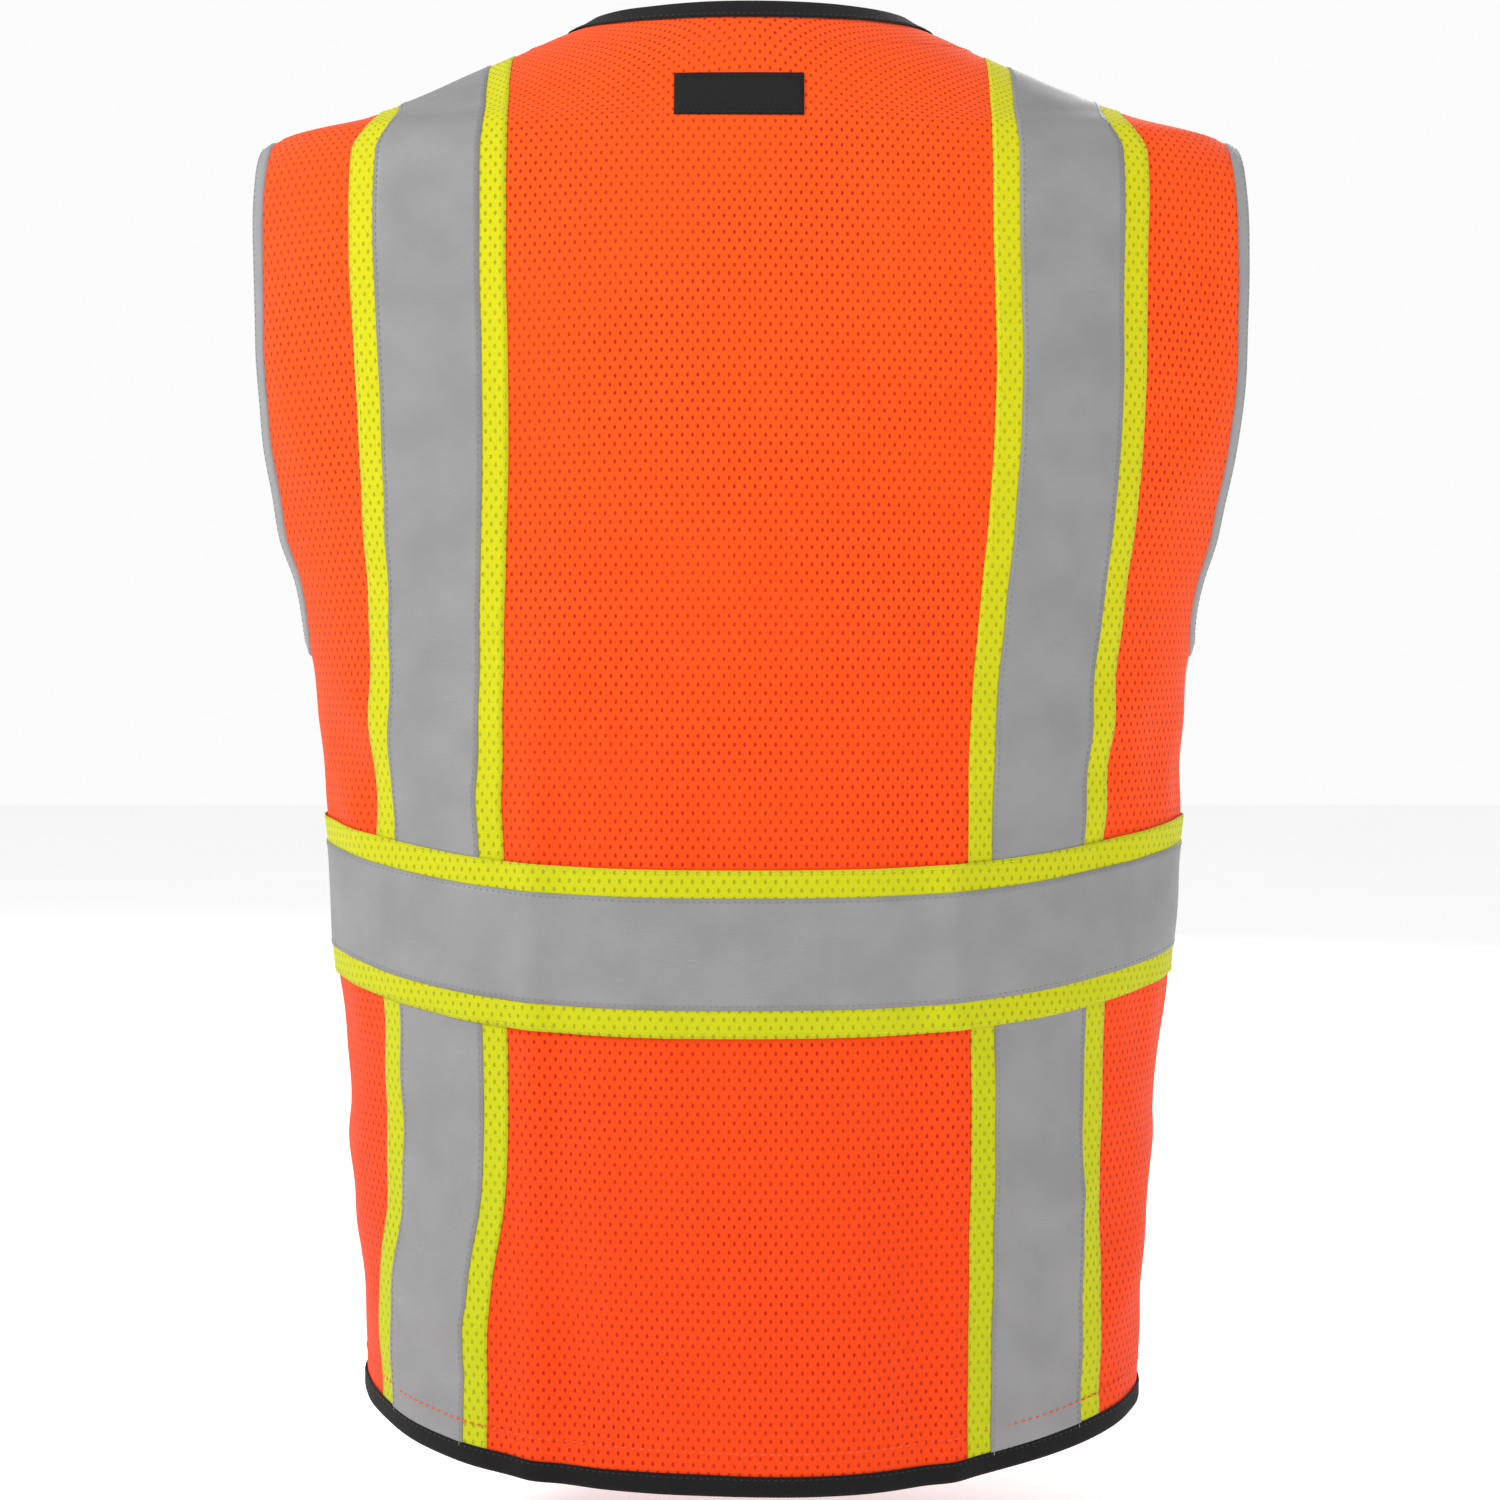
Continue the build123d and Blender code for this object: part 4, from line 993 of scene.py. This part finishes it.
def make_pockets():
    """Chest and pen pocket on the left front, radio pocket with a flap on the right, two inside."""
    made, inside = {1: [], -1: []}, []
    cloth, x0, x1, top = (ORANGE_CLOTH, "orange_cloth"), POCKET_X0, POCKET_X1, POCKET_TOP
    chest_low, radio_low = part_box("chest_pocket")[0].z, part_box("radio_pocket")[0].z
    pockets = [("chest", 1, chest_low, top, 0.7 * MM, 0), ("radio", -1, radio_low, top, 0.7 * MM, 0)]
    pockets += [("pen", 1, chest_low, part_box("pen_pocket")[1].z, 1.6 * MM, 3)]
    for name, side, low, high, under, pleats in pockets:
        bag = pouch(name + "_pouch", side, x0, x1, low, high, POCKET_ROOM, under, *cloth, pleats)
        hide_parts(name + "_pocket")
        made[side].append(bag)
    for side, low in ((1, chest_low), (-1, radio_low)):
        n, out, by = name_of(side), 1.5 * MM, 0.4 * MM
        base = lay("pocket_base_" + n, patch_grid(side, x0 - out, x1 + out, low - out, top), 0.6 * MM, *cloth)
        row = foot_row(side, x0 - by, x1 + by, low - by, top)
        made[side] += [base, stitches("pocket_stitches_" + n, [row], 0.7 * MM, ORANGE_THREAD)]
        low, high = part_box("inner_pocket_" + n)
        x_in, x_out = sorted((abs(low.x), abs(high.x)))
        inner = (x_in, x_out, low.z, high.z, INNER_ROOM, -1.6 * MM, ORANGE_CLOTH, "orange_lining")
        bag = pouch("inner_pouch_" + n, side, *inner)
        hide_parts("inner_pocket_" + n)
        inside.append(bag)
    loop, flap = make_flap(x0, x1)
    return made[1], made[-1] + [loop], flap, inside


def make_labels():
    """The black label behind the neck, and the care label inside it."""
    low, high = (corner + LABEL_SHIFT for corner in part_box("neck_label"))
    grid = patch_grid(1, low.x, high.x, low.z, high.z, True)
    label = lay("neck_tag", grid, 0.7 * MM, BLACK_LABEL, "black_label", 0.6 * MM)
    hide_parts("neck_label")
    x, inset = np.linspace(low.x, high.x, 60) * 0.96, 1.2 * MM
    sides = [(np.full(60, v), turn_at(np.full(60, v), x, True)) for v in (low.z + inset, high.z - inset)]
    rows = stitches("neck_tag_stitches", sides, 0.75 * MM, BLACK_THREAD, 2.4 * MM, 0.2 * MM)
    low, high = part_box("care_label")
    grid = patch_grid(1, low.x, high.x, low.z, high.z, True)
    care = lay("care_tag", grid, -1.6 * MM, WHITE_LABEL, "white_label")
    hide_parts("care_label")
    return [label, rows, care]


def make_zip_tape(side):
    """Woven tape beside the zip's teeth, with a cord along its inner edge."""
    low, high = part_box("zip_tape_" + name_of(side))
    inner, outer = sorted((abs(low.x), abs(high.x)))
    z = np.linspace(low.z, high.z, int((high.z - low.z) / (3 * MM)))
    middle = (inner + outer) / 2
    outline = [(inner, -0.5), (inner + 0.5 * MM, -0.62), (inner + 1.4 * MM, -0.5), (inner + 2 * MM, -0.32)]
    outline += [(middle, -0.26), (outer - 0.5 * MM, -0.26), (outer, -0.1), (outer, 0.14)]
    outline += [(outer - 0.5 * MM, 0.26), (middle, 0.26), (inner + 2 * MM, 0.32), (inner + 0.5 * MM, 0.5)]
    x, y = np.array(outline).T
    across = x[None, :] + 0 * z[:, None]
    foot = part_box("hem_facing_edge_left")[1].z + 1 * MM
    across = np.where(z[:, None] < foot, np.minimum(across, EDGE_X - 0.5 * MM), across)
    deep = (low.y + high.y) / 2 + y[None, :] * (high.y - low.y) * 0.55 / 0.6
    up = z[:, None] + 0 * across
    verts = np.stack([side * across, deep + 0 * across, up], -1)
    cloth, faces = np.stack([across, up], -1).reshape(-1, 2), tube_faces(len(z), len(outline))
    obj = new_object("zip_woven_tape_" + name_of(side), verts.reshape(-1, 3), faces, cloth)
    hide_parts("zip_tape_" + name_of(side))
    return finish_piece(obj, ZIP_TAPE)


def make_front_hem(side):
    """The front's turned edge beside the zip, with its two rows of stitching."""
    n = name_of(side)
    low, high = -LENGTH + TRIM - 1 * MM, FLAP_HEAD - 8 * MM
    grid = patch_grid(side, EDGE_X, EDGE_X + TURNING, low, high)
    hem = lay("front_turning_" + n, grid, 0.5 * MM, ORANGE_CLOTH, "orange_cloth")
    z, rows = np.linspace(low, high, 300), []
    for x in (EDGE_X + 2 * MM, EDGE_X + TURNING - SEAM):
        rows.append((z, on_side(turn_at(z, np.full(300, x), False), side)))
    return [hem, stitches("front_turning_stitches_" + n, rows, 0.55 * MM, ORANGE_THREAD)]


def make_teeth(side):
    """Moulded teeth, rounded blocks whose heads reach between those of the other side."""
    name = "zip_teeth_" + name_of(side)
    low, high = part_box(name)
    y = (low.y + high.y) / 2
    half_deep, half_high, pitch = (high.y - low.y) / 2, 0.85 * MM, 3.8 * MM
    count = int((high.z - low.z) / pitch) + (1 if side > 0 else 0)
    start = low.z + half_high + (0 if side > 0 else pitch / 2)
    around = [(1, 0.5), (0.7, 1), (-0.7, 1), (-1, 0.5), (-1, -0.5), (-0.7, -1), (0.7, -1), (1, -0.5)]
    stations = [(-0.9, 0.6), (-0.7, 0.85), (-0.2, 1), (0.5, 0.72), (0.9, 0.72), (1.4, 1), (2.9, 1)]
    stations += [(3.2, 0.8)]
    verts, faces = [], []
    for i in range(count):
        first = len(verts)
        for x, size in stations:
            for deep, tall in around:
                z = start + i * pitch + tall * half_high * size
                verts.append((side * x * MM, y + deep * half_deep * min(1, size + 0.15), z))
        faces += [[first + j for j in face] for face in tube_faces(len(stations), len(around))]
    obj = new_object("zip_moulded_teeth_" + name_of(side), verts, faces, np.zeros((len(verts), 2)))
    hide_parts(name)
    return finish_piece(obj, ZIP_PLASTIC)


def paint_frame():
    """Materials for the CAD nodes that stay: the zip's moulded and metal parts."""
    paints = {"zip_slider_body": ZIP_METAL, "zip_pull_tab": ZIP_METAL}
    for name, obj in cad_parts.items():
        if not name.startswith("zip_") or name.startswith(("zip_tape", "zip_teeth")):
            continue
        paint = paints.get(name, ZIP_PLASTIC)
        if not obj.material_slots:
            obj.data.materials.append(paint)
        for slot in obj.material_slots:
            slot.material = paint


def make_vest():
    shell = make_shell()
    fixed = make_strips() + make_labels()
    bands_back, band_fronts = make_bands()
    trim_back, trim_fronts = make_bindings()
    left, right, flap, inside = make_pockets()
    left += [make_zip_tape(1), make_teeth(1)]
    right += [make_zip_tape(-1), make_teeth(-1)]
    band_fronts[1] += make_front_hem(1)
    band_fronts[-1] += make_front_hem(-1)
    ride([shell["back_cloth"][0]] + fixed + bands_back + trim_back + inside, "vest_body")
    ride(left, "left_front")
    ride(right, "right_front")
    ride(flap, "radio_flap")
    for side in SIDES:
        for obj in [shell["front_cloth_" + name_of(side)][0]] + band_fronts[side] + trim_fronts[side]:
            swing(obj)
    paint_frame()


# ---- Floor, light and camera ----
def make_stage():
    points = [(x, y, -LENGTH - FLOOR_GAP) for x, y in ((-6, -6), (6, -6), (6, 6), (-6, 6))]
    mesh = bpy.data.meshes.new("floor")
    mesh.from_pydata(points, [], [(0, 1, 2, 3)])
    floor = put("floor", mesh)
    paint = Paint("floor_paper", 0.9)
    paint.glow((1, 1, 1, 1), FLOOR_GLOW)
    speckle = paint.noise(paint.where(), 3.0)
    tone = paint.mix(speckle, linear(251, 251, 251), linear(247, 247, 247))
    mesh.materials.append(paint.finish(tone, speckle, 0.5 * MM))


def make_light(name, place_at, aim, size, power):
    lamp = bpy.data.lights.new(name, "AREA")
    lamp.size = size
    lamp.energy = power
    obj = put(name, lamp)
    obj.location = place_at
    obj.rotation_euler = (Vector(aim) - Vector(place_at)).to_track_quat("-Z", "Y").to_euler()


def make_world():
    world = bpy.data.worlds.new("studio")
    world.use_nodes = True
    world.node_tree.nodes["Background"].inputs["Color"].default_value = (1, 1, 1, 1)
    nodes, links = world.node_tree.nodes, world.node_tree.links
    kinds = ("TexCoord", "SeparateXYZ", "MapRange")
    toward, split, share = (nodes.new("ShaderNode" + kind) for kind in kinds)
    height = nodes.new("ShaderNodeMath")
    height.operation = "ABSOLUTE"
    for i, value in enumerate((0.22, 0.55, WORLD_LIGHT, SKY_LIGHT), 1):
        share.inputs[i].default_value = value
    links.new(toward.outputs["Generated"], split.inputs[0])
    links.new(split.outputs["Z"], height.inputs[0])
    links.new(height.outputs[0], share.inputs[0])
    links.new(share.outputs[0], nodes["Background"].inputs["Strength"])
    bpy.context.scene.world = world


def make_camera():
    camera = bpy.data.cameras.new("camera")
    camera.lens = CAMERA_LENS
    camera.sensor_width = 36
    obj = put("camera", camera)
    obj.location = (0, CAMERA_BACK, CAMERA_HEIGHT)
    obj.rotation_euler = (math.radians(90 - CAMERA_TILT), 0, PI)
    bpy.context.scene.camera = obj


make_vest()
make_stage()
make_world()
for light in LIGHTS:
    make_light(*light)
make_camera()
bpy.context.scene.view_settings.view_transform = "Standard"
